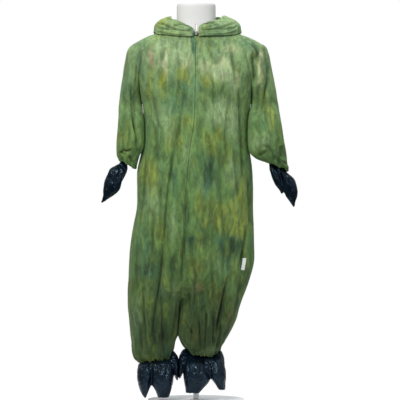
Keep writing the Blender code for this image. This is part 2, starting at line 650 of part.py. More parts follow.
def hood_grid(side, grids):
    """Points of half the folded hood: rows up from the neckline, over the roll and under it."""
    neckline = np.concatenate([grids[f"front_{side}"][0], grids[f"sleeve_{side}"][0],
                               grids[f"back_{side}"][0][::-1]])
    read = reader(HOOD, HOOD_COLUMNS, "round")
    size, side_of = HOOD_SIZE[side], (1 if side == "left" else -1)
    columns = []
    for j in range(HOOD_AROUND):
        t = j / (HOOD_AROUND - 1)
        base = along_line(neckline, t)
        ends = HOOD_END * (1 - smooth(0, 0.08, t)) + SEAM_GAP / 2
        base[0] = side_of * max(side_of * base[0], ends)
        out = Vector((base[0] * (0.75 if t > 0.5 else 1), base[1] + 5 * MM, 0)).normalized()
        if t in (0, 1):
            out = Vector((0, -1 if t == 0 else 1, 0))
        out = np.array(out)
        lean, rise, reach, drop = (read(key, t) * MM * size for key in HOOD_COLUMNS[1:])
        drop = drop / size
        uneven = 1 + 0.05 * math.sin(9 * t + 2 * side_of)
        rise *= uneven
        column_points = []
        for lean_share, reach_share, rise_share, drop_share in HOOD_PROFILE:
            away = lean * lean_share + reach * reach_share
            up = HOOD_LIFT + rise * rise_share + drop * drop_share
            column_points.append(base + out * away + np.array([0, 0, up]))
        columns.append(column_points)
    return np.array(columns).transpose(1, 0, 2)


def zip_tape(side, grids, normals, material):
    """Half of the zip's tape, behind the front's edge and a little above the neckline."""
    grid, normal = grids[f"front_{side}"], normals[f"front_{side}"]
    rows = [i for i in range(len(grid)) if grid[i, 0, 2] > ZIP_BOTTOM - 5 * MM]
    side_of = 1 if side == "left" else -1
    strip, facing = [], []
    for i in rows:
        edge, turn = grid[i, 0], normal[i, 0]
        into, next_turn = grid[i, 1] - grid[i, 0], normal[i, 1]
        width = np.linalg.norm(into)
        middle = edge.copy()
        middle[0] -= side_of * (ZIP_GAP / 2 - SEAM_GAP / 2)
        points, turns = [middle], [turn]
        for reach in (ZIP_TAPE / 2, ZIP_TAPE):
            points.append(edge + into * reach / width)
            turns.append(unit(turn + (next_turn - turn) * reach / width))
        strip.append([point - facing_out * (WALL + ZIP_SEAT) for point, facing_out in zip(points, turns)])
        facing.append(turns)
    above = np.array(strip[0])
    above[1:, 0] = above[0, 0] + side_of * np.array([1.5, 3.2]) * MM
    above += np.array([0, -1.5, 14]) * MM
    strip, facing = np.array([above] + strip), np.array([facing[0]] + facing)
    return cloth(f"zip_tape_{side}", strip, facing, material, ZIP_TAPE_THICK)


def box_between(name, low, high, material):
    mesh = bpy.data.meshes.new(name)
    shape = bmesh.new()
    bmesh.ops.create_cube(shape, size=1)
    for vertex in shape.verts:
        vertex.co = Vector([low[k] if vertex.co[k] < 0 else high[k] for k in range(3)])
    shape.to_mesh(mesh)
    shape.free()
    mesh.materials.append(material)
    item = bpy.data.objects.new(name, mesh)
    bpy.context.scene.collection.objects.link(item)
    return item


def zip_slider(metal):
    """The slider with two lugs for the pull tab."""
    slider = section_loft("zip_slider", SLIDER, 12, metal, 0.7)
    for side_of in (-1, 1):
        near = side_of * (TAB_WIDTH / 2 + SEAT)
        far = near + side_of * LUG_WIDTH
        low = (min(near, far), TAB_HINGE[1] - LUG_REACH / 2, TAB_HINGE[2] - LUG_TALL / 2)
        high = (max(near, far), LUG_ROOT, TAB_HINGE[2] + LUG_TALL / 2)
        lug = box_between(f"lug_{'right' if side_of < 0 else 'left'}", low, high, metal)
        lug.hide_render = True
        lug.display_type = "WIRE"
        join = slider.modifiers.new("lug", "BOOLEAN")
        join.operation = "UNION"
        join.object = lug
    return slider


def pull_tab(metal):
    """The pull tab, stood up and leant back, with its origin on its hinge."""
    outline = []
    for k in range(7):
        angle = math.pi + math.pi * k / 6
        outline.append((TAB_WIDTH / 2 * math.cos(angle), TAB_THICK * 1.2 * math.sin(angle)))
    for k in range(7):
        angle = math.pi * k / 6
        top = TAB_LONG - TAB_WIDTH / 2
        outline.append((TAB_WIDTH / 2 * math.cos(angle), top + TAB_WIDTH / 2 * math.sin(angle)))
    count = len(outline)
    points = [(x, y, z) for y in (-TAB_THICK / 2, TAB_THICK / 2) for x, z in outline]
    faces = [tuple(range(count)), tuple(reversed(range(count, 2 * count)))]
    faces += [(k, k + count, (k + 1) % count + count, (k + 1) % count) for k in range(count)]
    tab = add_mesh("pull_tab", points, faces, metal)
    tab.location = TAB_HINGE
    tab.rotation_euler = (-TAB_LEAN, 0, 0)
    return tab


def panel_point(grid, normal, x, z):
    """The point of a panel, and its normal, where it is seen from the front at x and z."""
    best, found = 1e9, None
    for i in range(len(grid) - 1):
        for j in range(grid.shape[1] - 1):
            for a, b in ((a, b) for a in np.linspace(0, 1, 9) for b in np.linspace(0, 1, 9)):
                weights = ((i, j, (1 - a) * (1 - b)), (i + 1, j, a * (1 - b)),
                           (i, j + 1, (1 - a) * b), (i + 1, j + 1, a * b))
                point = sum(w * grid[p, q] for p, q, w in weights)
                off = abs(point[0] - x) + abs(point[2] - z)
                if off < best:
                    best, found = off, (point, unit(sum(w * normal[p, q] for p, q, w in weights)))
        if grid[i, 0, 2] < z - 0.08:
            break
    return found


def side_label(grids, normals, material):
    """The blank label, caught in the side's fold and lying on the front."""
    grid, normal = grids["front_left"], normals["front_left"]
    points, facing = [], []
    for i in range(4):
        t = i / 3
        x = LABEL_TOP[0] + t * (LABEL_BOTTOM[0] - LABEL_TOP[0])
        z = LABEL_TOP[1] + t * (LABEL_BOTTOM[1] - LABEL_TOP[1])
        row, turned = [], []
        for across in (-0.5, 0.5):
            point, turn = panel_point(grid, normal, x + across * LABEL_WIDTH, z)
            row.append(point + turn * (1.4 + 1.6 * t) * MM)
            turned.append(turn)
        points.append(row)
        facing.append(turned)
    return cloth("side_label", np.array(points), np.array(facing), material, 0.6 * MM)


def stand(white, metal):
    plate = [(0, PLATE_RADIUS), (PLATE_THICK - 3 * MM, PLATE_RADIUS), (PLATE_THICK, PLATE_RADIUS - 3 * MM)]
    rows = [(z / MM, -r / MM, r / MM, -r / MM, r / MM, 0) for z, r in reversed(plate)]
    section_loft("stand_plate", rows, 40, white)
    top = FORM[-1][0]
    r = POLE_RADIUS / MM
    rows = [(top - SEAT / MM, -r, r, -r, r, 0), ((PLATE_THICK + SEAT) / MM, -r, r, -r, r, 0)]
    section_loft("stand_pole", rows, 16, metal)
    section_loft("form_torso", FORM, FORM_SIDES, white, 0.9)


def main():
    clear_scene()
    plush = finish("plush", GREEN, 0.95)
    navy = finish("navy_shine", NAVY, 0.25)
    tape = finish("zip_tape", ZIP_GREEN, 0.8)
    metal = finish("zip_metal", METAL, 0.35, 1.0)
    white_cloth = finish("label_white", WHITE_CLOTH, 0.8)
    form_white = finish("form_white", FORM_WHITE, 0.6)
    pole_white = finish("stand_white", FORM_WHITE, 0.4)
    grids, normals = garment_grids()
    for name, grid in grids.items():
        cloth(name, grid, normals[name], plush)
    for side in ("right", "left"):
        hood = hood_grid(side, grids)
        facing = normals_of(hood)
        out = hood[7] - hood[0]
        facing = facing * (1 if np.einsum("jk,jk->j", facing[6], out).sum() > 0 else -1)
        facing[:, [0, -1], 0] = 0
        facing = unit(facing)
        cloth(f"hood_{side}", hood, facing, plush)
        zip_tape(side, grids, normals, tape)
    zip_slider(metal)
    pull_tab(metal)
    side_label(grids, normals, white_cloth)
    for name, rows in PADS.items():
        section_loft(name, rows, PAD_SIDES, navy, 0.85)
    stand(form_white, pole_white)


main()
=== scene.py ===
"""Looks of the costume jumpsuit on its dress form: dyed plush panels, raglan sleeves, a folded hood,
a front zip, and shiny padded claws. Metres, +Z up, the front faces -Y."""

import math

import bpy
import numpy as np
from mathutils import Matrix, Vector, noise


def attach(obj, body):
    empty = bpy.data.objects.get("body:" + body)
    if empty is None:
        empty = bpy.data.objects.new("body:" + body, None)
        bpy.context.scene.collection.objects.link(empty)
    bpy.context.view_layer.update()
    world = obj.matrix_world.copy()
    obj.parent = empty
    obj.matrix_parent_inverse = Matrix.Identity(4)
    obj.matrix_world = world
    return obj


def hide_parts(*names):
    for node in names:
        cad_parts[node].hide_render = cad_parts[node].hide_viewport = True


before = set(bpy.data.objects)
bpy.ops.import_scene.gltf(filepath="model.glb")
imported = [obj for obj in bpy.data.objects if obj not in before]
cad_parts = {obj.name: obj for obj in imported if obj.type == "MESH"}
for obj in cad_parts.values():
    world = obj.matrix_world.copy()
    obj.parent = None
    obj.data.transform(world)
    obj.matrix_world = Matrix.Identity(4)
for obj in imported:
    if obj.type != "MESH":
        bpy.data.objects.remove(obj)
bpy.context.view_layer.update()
MM = 0.001
BODY = "suit_and_form"

# Cloth
WALL = 2.2 * MM
SEAM_GAP = 0.1 * MM
PANEL_COLUMNS = 14
SLEEVE_COLUMNS = 23
ROWS_BY, PANEL_BY, SLEEVE_BY = 8, 10, 6  # how much finer than the tables the cloth is drawn
GATHER_REACH = 95 * MM
ANKLE_GATHERS, CUFF_GATHERS = 9, 7
ANKLE_WAVE, CUFF_WAVE = 3.4 * MM, 2.4 * MM

# Zip
ZIP_GAP = 0.8 * MM
ZIP_TAPE = 11 * MM
ZIP_SEAT = 0.5 * MM
ZIP_TAPE_THICK = 0.9 * MM
ZIP_BOTTOM = 390 * MM

# Crotch
CROTCH_TOP = 335 * MM
CROTCH = 262 * MM
ANKLE = 118 * MM
LEG_CLEARANCE = 0.15 * MM
LEG_PRESS = 2.4 * MM  # how far each inside leg bends round the other
LEG_PRESS_REACH, LEG_PRESS_WAVE = 14 * MM, 9 * MM
LEG_PRESS_FROM, LEG_PRESS_TO = CROTCH_TOP - 10 * MM, CROTCH_TOP + 15 * MM
FLAT_INSIDE, FLAT_UP_TO = 7 * MM, CROTCH_TOP + 45 * MM  # where the two legs lie flat on each other

# Stand
PLATE_RADIUS = 135 * MM
PLATE_THICK = 10 * MM
POLE_RADIUS = 8 * MM
SEAT = 0.35 * MM


def smooth(low, high, value):
    """0 at low and below, 1 at high and above, with no corner between."""
    t = np.clip((value - low) / (high - low), 0.0, 1.0)
    return t * t * (3 - 2 * t)


def column(table, columns, name):
    return [row[columns.index(name)] for row in table]


def reader(table, columns, key):
    """A function that gives the named column's value at any height, read between the rows."""
    order = sorted(table, key=lambda row: row[columns.index(key)])
    at = column(order, columns, key)

    def read(name, value):
        return float(np.interp(value, at, column(order, columns, name)))

    return read


def normals_of(grid):
    """Unit normals of a grid of points, rows down and columns to the side."""
    down = np.gradient(grid, axis=0)
    side = np.gradient(grid, axis=1)
    normal = np.cross(down, side)
    return normal / np.maximum(np.linalg.norm(normal, axis=2, keepdims=True), 1e-12)


def outward(grid, normal, middle):
    """Turns the normals so that they point away from the middle, a point for each row."""
    away = np.einsum("ijk,ijk->ij", grid - middle[:, None, :], normal).sum()
    return normal if away > 0 else -normal


def cloth_faces(rows, columns):
    """Faces of a wall made of two grids, the outer one first, closed all round its edge."""
    def at(layer, i, j):
        return (layer * rows + i) * columns + j

    faces = []
    for i in range(rows - 1):
        for j in range(columns - 1):
            faces.append((at(0, i, j), at(0, i + 1, j), at(0, i + 1, j + 1), at(0, i, j + 1)))
            faces.append((at(1, i, j), at(1, i, j + 1), at(1, i + 1, j + 1), at(1, i + 1, j)))
    for i in range(rows - 1):
        last = columns - 1
        faces.append((at(0, i, 0), at(1, i, 0), at(1, i + 1, 0), at(0, i + 1, 0)))
        faces.append((at(0, i, last), at(0, i + 1, last), at(1, i + 1, last), at(1, i, last)))
    for j in range(columns - 1):
        last = rows - 1
        faces.append((at(0, 0, j), at(0, 0, j + 1), at(1, 0, j + 1), at(1, 0, j)))
        faces.append((at(0, last, j), at(1, last, j), at(1, last, j + 1), at(0, last, j + 1)))
    return faces


# The body's sections from the underarm down, one row each, in mm. Side is the side seam, inner the
# centre front above the crotch and the inside leg below it, hem_up how much higher the inner edge lies.
HALF_COLUMNS = ("z", "side", "inner", "front", "back", "hem_up")
RIGHT_HALF = (
    (801, -147, -4, 109, 99, 0),
    (762, -147, -8, 110, 100, 0),
    (720, -149, -15, 110, 102, 0),
    (678, -158, -20, 110, 104, 0),
    (644, -165, -23, 111, 106, 0),
    (594, -165, -28, 112, 107, 0),
    (543, -166, -32, 113, 108, 0),
    (493, -176, -34, 113, 109, 0),
    (442, -184, -36, 112, 110, 0),
    (392, -188, -37.5, 110, 108, 0),
    (342, -190, -39, 106, 104, 0),
    (316, -192, -40.5, 98, 96, 0),
    (290, -192, -42, 88, 86, 0),
    (262, -191, -43.5, 79, 77, 0),
    (234, -188, -45.5, 75, 73, 0),
    (207, -186, -48, 72, 71, 0),
    (188, -184, -51, 69, 68, 0),
    (170, -181, -59, 65, 64, 0),
    (152, -180, -63, 60, 58, 1),
    (137, -178, -66, 55, 54, 4),
    (124, -170, -69, 48, 47, 8),
    (112, -156, -72, 41, 41, 12),
)
LEFT_HALF = (
    (801, 148.5, -4, 109, 99, 0),
    (762, 147.5, -8, 110, 100, 0),
    (720, 148, -15, 110, 102, 0),
    (678, 154, -20, 110, 104, 0),
    (644, 158, -23, 111, 106, 0),
    (594, 160, -28, 112, 107, 0),
    (543, 160, -32, 113, 108, 0),
    (493, 162, -34, 113, 109, 0),
    (442, 163, -36, 112, 110, 0),
    (392, 162, -37.5, 110, 108, 0),
    (342, 149, -39, 106, 104, 0),
    (316, 140, -40.5, 98, 96, 0),
    (290, 130, -42, 88, 86, 0),
    (262, 121, -43.5, 79, 77, 0),
    (234, 114, -45.5, 75, 73, 0),
    (207, 102, -48, 72, 71, 0),
    (190, 93, -50, 69, 68, 0),
    (174, 83, -45, 65, 64, 0),
    (160, 74, -37, 60, 58, 0),
    (147, 69, -27, 54, 53, 2),
    (137, 67, -20, 47, 46, 5),
    (126, 62, -14, 40, 40, 9),
)

# The chest's sections from the neckline to the underarm, in mm: the height and depth of the centre
# front and centre back, and how far round the section has turned at the raglan seam, in degrees.
CHEST_SWAY = -3 * MM  # of the zip to one side, from the neckline to the underarm
CHEST_COLUMNS = ("front_z", "front", "back_z", "back", "turn")
CHEST = (
    (1020, 74, 1045, 62, 50),
    (1000, 82, 1020, 74, 52),
    (975, 89, 992, 84, 55),
    (950, 95, 965, 90, 58),
    (925, 99, 938, 94, 63),
    (902, 102, 912, 96, 70),
    (880, 105, 886, 97, 78),
    (857, 107, 860, 98, 85),
    (834, 108, 834, 98, 90),
)

# A sleeve's sections from the neckline to the cuff, in mm. Edge is the raglan seam, and below the
# underarm the sleeve's inner side; ridge is its outer side; turn is how far round from the ridge
# the edge lies, in degrees; open parts the seam at the underarm.
SLEEVE_TABLE_COLUMNS = ("edge_x", "edge_z", "ridge_x", "ridge_z", "front", "back", "mid_y", "turn", "open")
RIGHT_SLEEVE = (
    (-98, 1028, -106, 1034, 55, 52, 0, 60, 0),
    (-114, 1021, -132, 1024, 66, 62, 0, 65, 0),
    (-129, 1012, -158, 1012, 74, 68, 0, 70, 0),
    (-140, 997, -182, 998, 78, 71, 0, 78, 0),
    (-148, 972, -193, 982, 78, 71, 0, 90, 0),
    (-154, 942, -200, 950, 74, 68, 0, 105, 0),
    (-158, 907, -205, 913, 67, 62, 0, 125, 0),
    (-157, 868, -210, 879, 56, 52, 0, 150, 2),
    (-151, 834, -215, 840, 46, 45, 0, 180, 8),
    (-147.5, 809, -217, 812, 42, 44, -20, 180, 3),
    (-144.5, 784, -218, 780, 39, 45, -32, 180, 0),
    (-144, 759, -220, 748, 37, 46, -37, 180, 0),
    (-144, 734, -222, 720, 37, 45, -39, 180, 0),
    (-146, 711, -223, 703, 37, 41, -36, 180, 0),
    (-158, 689, -222, 692, 37, 32, -27, 180, 0),
    (-166, 669, -218, 684, 30, 26, -24, 180, 0),
    (-169, 652, -214, 675, 22, 20, -22, 180, 0),
)
LEFT_SLEEVE = (
    (101, 1028, 114, 1034, 55, 52, 0, 60, 0),
    (112, 1019, 142, 1023, 66, 62, 0, 65, 0),
    (121, 1003, 170, 1010, 74, 68, 0, 70, 0),
    (132, 983, 194, 996, 78, 71, 0, 78, 0),
    (140, 960, 203, 977, 78, 71, 0, 90, 0),
    (147, 935, 209, 950, 74, 68, 0, 105, 0),
    (152, 904, 216, 913, 67, 62, 0, 125, 0),
    (154, 868, 223, 874, 56, 52, 0, 150, 0),
    (153, 834, 230, 834, 48, 45, 0, 180, 0),
    (148.5, 812, 234, 808, 46, 46, -20, 180, 0),
    (145, 787, 238, 782, 46, 50, -34, 180, 0),
    (144, 762, 242, 755, 46, 52, -38, 180, 0),
    (143.5, 737, 246, 728, 46, 53, -41, 180, 0),
    (145, 712, 250, 703, 46, 50, -38, 180, 0),
    (151, 695, 253, 684, 44, 43, -32, 180, 0),
    (167, 683, 255, 669, 38, 32, -24, 180, 0),
    (183, 678, 258, 656, 29, 25, -19, 180, 0),
    (200, 673, 258, 645, 20, 18, -15, 180, 0),
)

# The largest folds, in mm: where each starts, turns and ends as seen from the front or the back,
# its depth (a ridge is negative) and its half width. x follows the object, also behind.
FRONT_FOLDS = (
    (-56, 735, -88, 450, -129, 196, 8, 9), (-74, 700, -106, 470, -146, 230, -3, 10),
    (-22, 575, -30, 490, -36, 405, 4, 8), (141, 500, 134, 440, 123, 385, 6, 8),
    (84, 345, 70, 269, 54, 185, 9, 10), (104, 330, 92, 262, 74, 190, -4, 10),
    (25, 280, 27, 210, 22, 140, 5, 8), (-38, 236, -24, 212, -8, 186, 4, 8),
    (116, 900, 126, 750, 134, 590, 5, 12), (-96, 640, -100, 540, -98, 440, 4, 12),
    (-134, 980, -128, 900, -136, 800, 4, 12), (-150, 330, -148, 250, -138, 150, 5, 11),
    (-100, 330, -92, 240, -100, 135, 4, 10), (60, 860, 70, 740, 76, 600, 3, 16),
)
BACK_FOLDS = (
    (-60, 800, -74, 560, -112, 260, 7, 12), (70, 760, 86, 500, 66, 220, 7, 12),
    (6, 640, -10, 520, -34, 400, 5, 12), (-128, 560, -140, 380, -138, 180, 6, 12),
    (122, 540, 128, 430, 96, 260, 6, 12), (20, 300, 24, 220, 18, 150, 5, 9),
    (-84, 320, -92, 230, -100, 140, 4, 9), (-118, 900, -112, 820, -120, 740, 4, 12),
    (112, 920, 118, 820, 112, 720, 5, 12),
)
RIGHT_SLEEVE_FOLDS = (
    (-180, 955, -184, 880, -182, 800, 4, 8), (-178, 800, -166, 758, -158, 712, 8, 8),
    (-200, 860, -204, 790, -200, 730, 3, 9), (-208, 706, -192, 698, -172, 700, 5, 6),
)
LEFT_SLEEVE_FOLDS = (
    (166, 975, 160, 930, 158, 880, 10, 13), (184, 985, 174, 930, 163, 880, -4, 7),
    (206, 950, 196, 880, 166, 800, 6, 11), (216, 860, 212, 790, 226, 730, 5, 10),
    (186, 780, 190, 730, 182, 690, -6, 16), (228, 740, 230, 700, 232, 660, 7, 8),
)

# Smaller creases, listed like the folds above. On the hidden sides they are of the same kind.
FRONT_CREASES = (
    (-56, 744, -77, 600, -93, 430, 5.6, 4), (-92, 470, -106, 312, -129, 165, 5.8, 4),
    (-24, 582, -31, 490, -33, 396, 4.2, 4), (-36, 470, -40, 400, -42, 330, 5.0, 4),
    (141, 504, 134, 440, 122, 384, 4.6, 4), (89, 368, 73, 275, 52, 180, 6.4, 4.5),
    (27, 262, 27, 210, 22, 140, 4.6, 3.5), (7, 262, 7, 220, 9, 160, 4.2, 3.5),
    (-40, 238, -24, 212, -6, 186, 3.6, 4), (-148, 330, -146, 250, -136, 150, 3.6, 4),
    (-102, 330, -93, 240, -100, 135, 3.6, 4), (118, 900, 127, 750, 135, 590, 3.6, 5),
    (-97, 640, -101, 540, -98, 440, 3.6, 5), (-55, 1000, -48, 930, -52, 850, 2.0, 5),
    (-30, 880, -42, 800, -60, 700, 2.2, 6), (-120, 860, -112, 800, -92, 745, 2.4, 6),
    (-124, 790, -112, 730, -108, 650, 2.2, 6), (-70, 640, -78, 560, -82, 470, -2.0, 7),
    (-140, 700, -146, 610, -150, 520, 2.6, 6), (-118, 560, -122, 470, -116, 380, 2.4, 7),
    (-162, 470, -166, 380, -160, 300, 2.6, 7), (-60, 430, -66, 340, -74, 250, 2.0, 7),
    (-52, 300, -58, 230, -72, 165, 2.6, 6), (-120, 250, -118, 200, -108, 140, 3.2, 6),
    (-158, 240, -156, 190, -146, 140, 3.0, 6), (-86, 215, -90, 170, -86, 128, 3.0, 5),
    (-170, 320, -168, 260, -164, 205, -2.0, 7), (34, 1000, 44, 960, 62, 930, 1.8, 6),
    (96, 985, 104, 930, 112, 870, 2.4, 6), (22, 930, 26, 860, 20, 790, 1.6, 7),
    (90, 830, 84, 740, 92, 650, 2.2, 7), (36, 760, 44, 660, 40, 570, 2.0, 7),
    (104, 720, 112, 640, 118, 560, 2.4, 7), (64, 620, 72, 530, 84, 440, 2.2, 7),
    (18, 600, 20, 520, 24, 430, 2.0, 7), (146, 640, 148, 560, 150, 480, 2.4, 6),
    (40, 440, 46, 350, 44, 270, 2.2, 7), (100, 470, 96, 420, 84, 370, 2.0, 7),
    (2, 380, -4, 320, -8, 260, 2.4, 6), (-24, 330, -20, 280, -10, 220, 2.6, 6),
    (126, 360, 116, 300, 104, 250, 2.6, 7), (44, 260, 48, 205, 42, 150, 3.4, 5),
    (6, 240, 10, 190, 12, 145, 3.2, 5), (72, 230, 66, 190, 56, 148, 3.0, 5),
    (96, 250, 86, 215, 72, 170, 2.4, 5), (-10, 225, -16, 195, -12, 165, 2.6, 5),
    (-20, 470, -14, 420, -16, 370, 2.0, 6), (-100, 980, -94, 930, -98, 880, 1.8, 6),
)
BACK_CREASES = (
    (-40, 960, -36, 880, -44, 800, 2.2, 8), (44, 950, 50, 860, 42, 780, 2.4, 8),
    (-100, 740, -96, 660, -106, 560, 2.6, 7), (104, 700, 108, 620, 100, 520, 2.6, 8),
    (24, 760, 30, 640, 22, 520, 2.4, 9), (-30, 560, -26, 460, -40, 370, 2.6, 8),
    (46, 500, 54, 400, 48, 300, 2.6, 8), (-90, 480, -96, 400, -92, 300, 2.6, 8),
    (-150, 440, -156, 340, -150, 240, 2.8, 7), (120, 400, 110, 320, 96, 240, 2.8, 7),
    (-66, 290, -74, 220, -82, 150, 3.0, 6), (-120, 260, -124, 200, -116, 140, 3.2, 6),
    (-160, 230, -156, 180, -148, 130, 3.0, 6), (0, 300, 4, 230, 2, 160, 3.0, 6),
    (36, 250, 40, 200, 34, 150, 3.2, 5), (84, 240, 74, 195, 60, 150, 3.0, 5),
    (-16, 420, -22, 350, -26, 280, 2.4, 8),
)
RIGHT_SLEEVE_CREASES = (
    (-181, 900, -178, 810, -166, 752, 3.4, 4), (-176, 790, -164, 744, -153, 706, 4.0, 5),
    (-206, 702, -192, 699, -176, 706, 3.4, 4), (-150, 990, -162, 940, -166, 880, 2.0, 6),
    (-192, 980, -196, 920, -198, 850, 1.8, 6), (-168, 880, -172, 830, -166, 780, 2.4, 5),
    (-206, 830, -208, 780, -212, 730, 2.0, 6), (-190, 780, -186, 740, -190, 700, 2.4, 6),
    (-214, 702, -204, 692, -190, 694, 4.0, 5), (-188, 690, -182, 678, -176, 668, 3.0, 5),
    (-170, 736, -164, 716, -162, 694, 2.6, 5), (-202, 720, -206, 704, -214, 692, 2.2, 5),
)
LEFT_SLEEVE_CREASES = (
    (158, 985, 156, 930, 156, 880, 3.2, 4), (206, 950, 194, 870, 168, 796, 3.0, 4.5),
    (166, 690, 184, 693, 199, 708, 4.4, 5), (236, 720, 238, 700, 240, 678, 3.4, 4),
    (239, 674, 247, 669, 255, 662, 3.0, 3), (244, 658, 250, 656, 256, 655, -2.4, 4),
    (150, 1000, 166, 985, 176, 960, 3.0, 7), (188, 1000, 196, 960, 200, 900, 1.8, 7),
    (176, 900, 168, 850, 164, 800, 3.0, 7), (196, 860, 192, 810, 196, 760, 2.4, 8),
    (222, 830, 226, 770, 236, 710, 2.2, 7), (160, 790, 172, 752, 190, 735, 2.6, 7),
    (168, 728, 186, 744, 206, 724, -3.6, 8), (174, 702, 192, 716, 212, 694, 4.0, 7),
    (206, 706, 214, 690, 216, 670, 3.0, 5), (240, 720, 246, 700, 250, 676, 3.0, 6),
    (246, 660, 250, 655, 254, 652, 4.0, 4), (218, 690, 228, 672, 236, 664, 2.4, 5),
)
SLEEVE_BACK_CREASES = (
    (-160, 960, -168, 900, -172, 830, 2.6, 8), (-190, 900, -196, 840, -192, 770, 2.4, 8),
    (-170, 800, -176, 750, -182, 700, 3.0, 7), (-208, 780, -212, 740, -214, 700, 2.6, 7),
    (-192, 730, -196, 700, -200, 675, 3.0, 6),
)

# Creases of the hood: how far round the neck and how far over the roll, as shares, then depth and
# width in mm.
HOOD_CREASES = (
    (0.02, 0.58, 0.16, 0.72, 0.38, 0.62, 7.0, 6), (0.08, 0.80, 0.20, 0.86, 0.40, 0.80, -2.6, 6),
    (0.04, 0.40, 0.18, 0.50, 0.34, 0.56, 3.0, 5), (0.28, 0.62, 0.40, 0.70, 0.52, 0.64, 3.6, 6),
    (0.06, 0.30, 0.14, 0.45, 0.22, 0.75, 2.6, 5), (0.02, 0.55, 0.10, 0.62, 0.24, 0.60, 3.0, 4),
    (0.20, 0.35, 0.30, 0.42, 0.44, 0.50, 2.4, 7), (0.14, 0.70, 0.26, 0.78, 0.42, 0.74, 3.0, 5),
    (0.46, 0.40, 0.56, 0.52, 0.66, 0.56, 2.6, 8), (0.58, 0.66, 0.68, 0.60, 0.80, 0.62, 3.0, 9),
    (0.72, 0.45, 0.80, 0.66, 0.84, 0.88, 3.2, 9), (0.86, 0.42, 0.90, 0.60, 0.93, 0.84, 3.0, 10),
    (0.60, 0.84, 0.74, 0.78, 0.90, 0.74, 2.6, 9),
)


def between(grid, rows_by, columns_by):
    """The grid drawn finer: a smooth line through its points, down and across."""
    for axis, by in ((0, rows_by), (1, columns_by)):
        line = np.moveaxis(grid, axis, 0)
        long = np.concatenate([2 * line[:1] - line[1:2], line, 2 * line[-1:] - line[-2:-1]])
        a, b, c, d = long[:-3], long[1:-2], long[2:-1], long[3:]
        steps = [b + (c - a) * t / 2 + (a - 2.5 * b + 2 * c - d / 2) * t * t
                 + (d - a + 3 * (b - c)) * t ** 3 / 2 for t in np.arange(by) / by]
        finer = np.stack(steps, axis=1).reshape((-1,) + line.shape[1:])
        grid = np.moveaxis(np.concatenate([finer, line[-1:]]), 0, axis)
    return grid


def sleeve_grid(table):
    """Points of a raglan sleeve: rows from the neckline to the cuff, columns from the front seam
    over the outer side to the back seam."""
    rows = []
    for row in table:
        values = dict(zip(SLEEVE_TABLE_COLUMNS, row))
        turn, mid_y = math.radians(values["turn"]), values["mid_y"] * MM
        edge = np.array([values["edge_x"], 0, values["edge_z"]]) * MM
        ridge = np.array([values["ridge_x"], 0, values["ridge_z"]]) * MM
        reach = (ridge - edge) / (1 - math.cos(turn))
        points = []
        for j in range(SLEEVE_COLUMNS):
            angle = turn * (1 - 2 * j / (SLEEVE_COLUMNS - 1))
            depth = values["front"] if angle > 0 else values["back"]
            point = ridge - reach + reach * math.cos(angle)
            points.append((point[0], mid_y - depth * MM * math.sin(angle), point[2]))
        rows.append(points)
    return np.array(rows)


def lower_row(values, depth, back):
    """Points of a section below the underarm, from the centre or inside leg seam to the side."""
    z, side, inner = values["z"] * MM, values["side"] * MM, values["inner"] * MM
    leg = 1 - smooth(CROTCH, CROTCH_TOP, z)
    points = []
    for j in range(PANEL_COLUMNS):
        s = j / (PANEL_COLUMNS - 1)
        across = (1 - leg) * math.sin(math.pi / 2 * s) + leg * (1 - math.cos(math.pi * s)) / 2
        along = (1 - leg) * math.cos(math.pi / 2 * s) + leg * math.sin(math.pi * s)
        points.append((inner + (side - inner) * across, (1 if back else -1) * depth * MM * along,
                       z + values["hem_up"] * MM * (1 - across)))
    return points


def chest_row(centre, edge, turn):
    """Points of a chest section from the centre seam to the raglan seam."""
    points = []
    for j in range(PANEL_COLUMNS):
        s = j / (PANEL_COLUMNS - 1)
        side = math.sin(turn * s) / math.sin(turn)
        forward = (1 - math.cos(turn * s)) / (1 - math.cos(turn))
        x = centre[0] + (edge[0] - centre[0]) * side
        y = centre[1] + (edge[1] - centre[1]) * forward
        z = centre[2] + (edge[2] - centre[2]) * s
        points.append((x, y, z))
    return points


def panel_grid(half, sleeve, back):
    """Points of a front or back: rows from the neckline to the ankle, columns from the centre
    seam to the raglan seam and the side seam."""
    edge_column = -1 if back else 0
    rows = []
    for number, row in enumerate(CHEST):
        values = dict(zip(CHEST_COLUMNS, row))
        depth, height = (values["back"], values["back_z"]) if back else (values["front"], values["front_z"])
        centre = (CHEST_SWAY * number / (len(CHEST) - 1), depth * MM * (1 if back else -1), height * MM)
        rows.append(chest_row(centre, sleeve[number, edge_column], math.radians(values["turn"])))
    for row in half:
        values = dict(zip(HALF_COLUMNS, row))
        rows.append(lower_row(values, values["back" if back else "front"], back))
    return np.array(rows)


def edge_shift(grid, normal, j, inward):
    """A unit vector along the cloth, across the seam at column j, into the piece."""
    along = np.gradient(grid[:, j], axis=0)
    across = np.cross(along, normal[:, j])
    across /= np.maximum(np.linalg.norm(across, axis=1, keepdims=True), 1e-12)
    sign = np.sign(np.einsum("ik,ik->i", across, grid[:, inward] - grid[:, j]))
    return across * np.where(sign == 0, 1, sign)[:, None]


def pull_back(grid, normal, j, inward, distance):
    """Moves an edge column into its own piece by a distance, one for each row or one for all."""
    grid[:, j] += edge_shift(grid, normal, j, inward) * np.broadcast_to(distance, grid.shape[0])[:, None]


def unit(vectors):
    return vectors / np.maximum(np.linalg.norm(vectors, axis=-1, keepdims=True), 1e-12)


def share(one, rows_one, j_one, two, rows_two, j_two):
    """Gives two pieces the same normals along the seam that joins them."""
    mean = unit(one[rows_one, j_one] + two[rows_two, j_two])
    one[rows_one, j_one] = mean
    two[rows_two, j_two] = mean


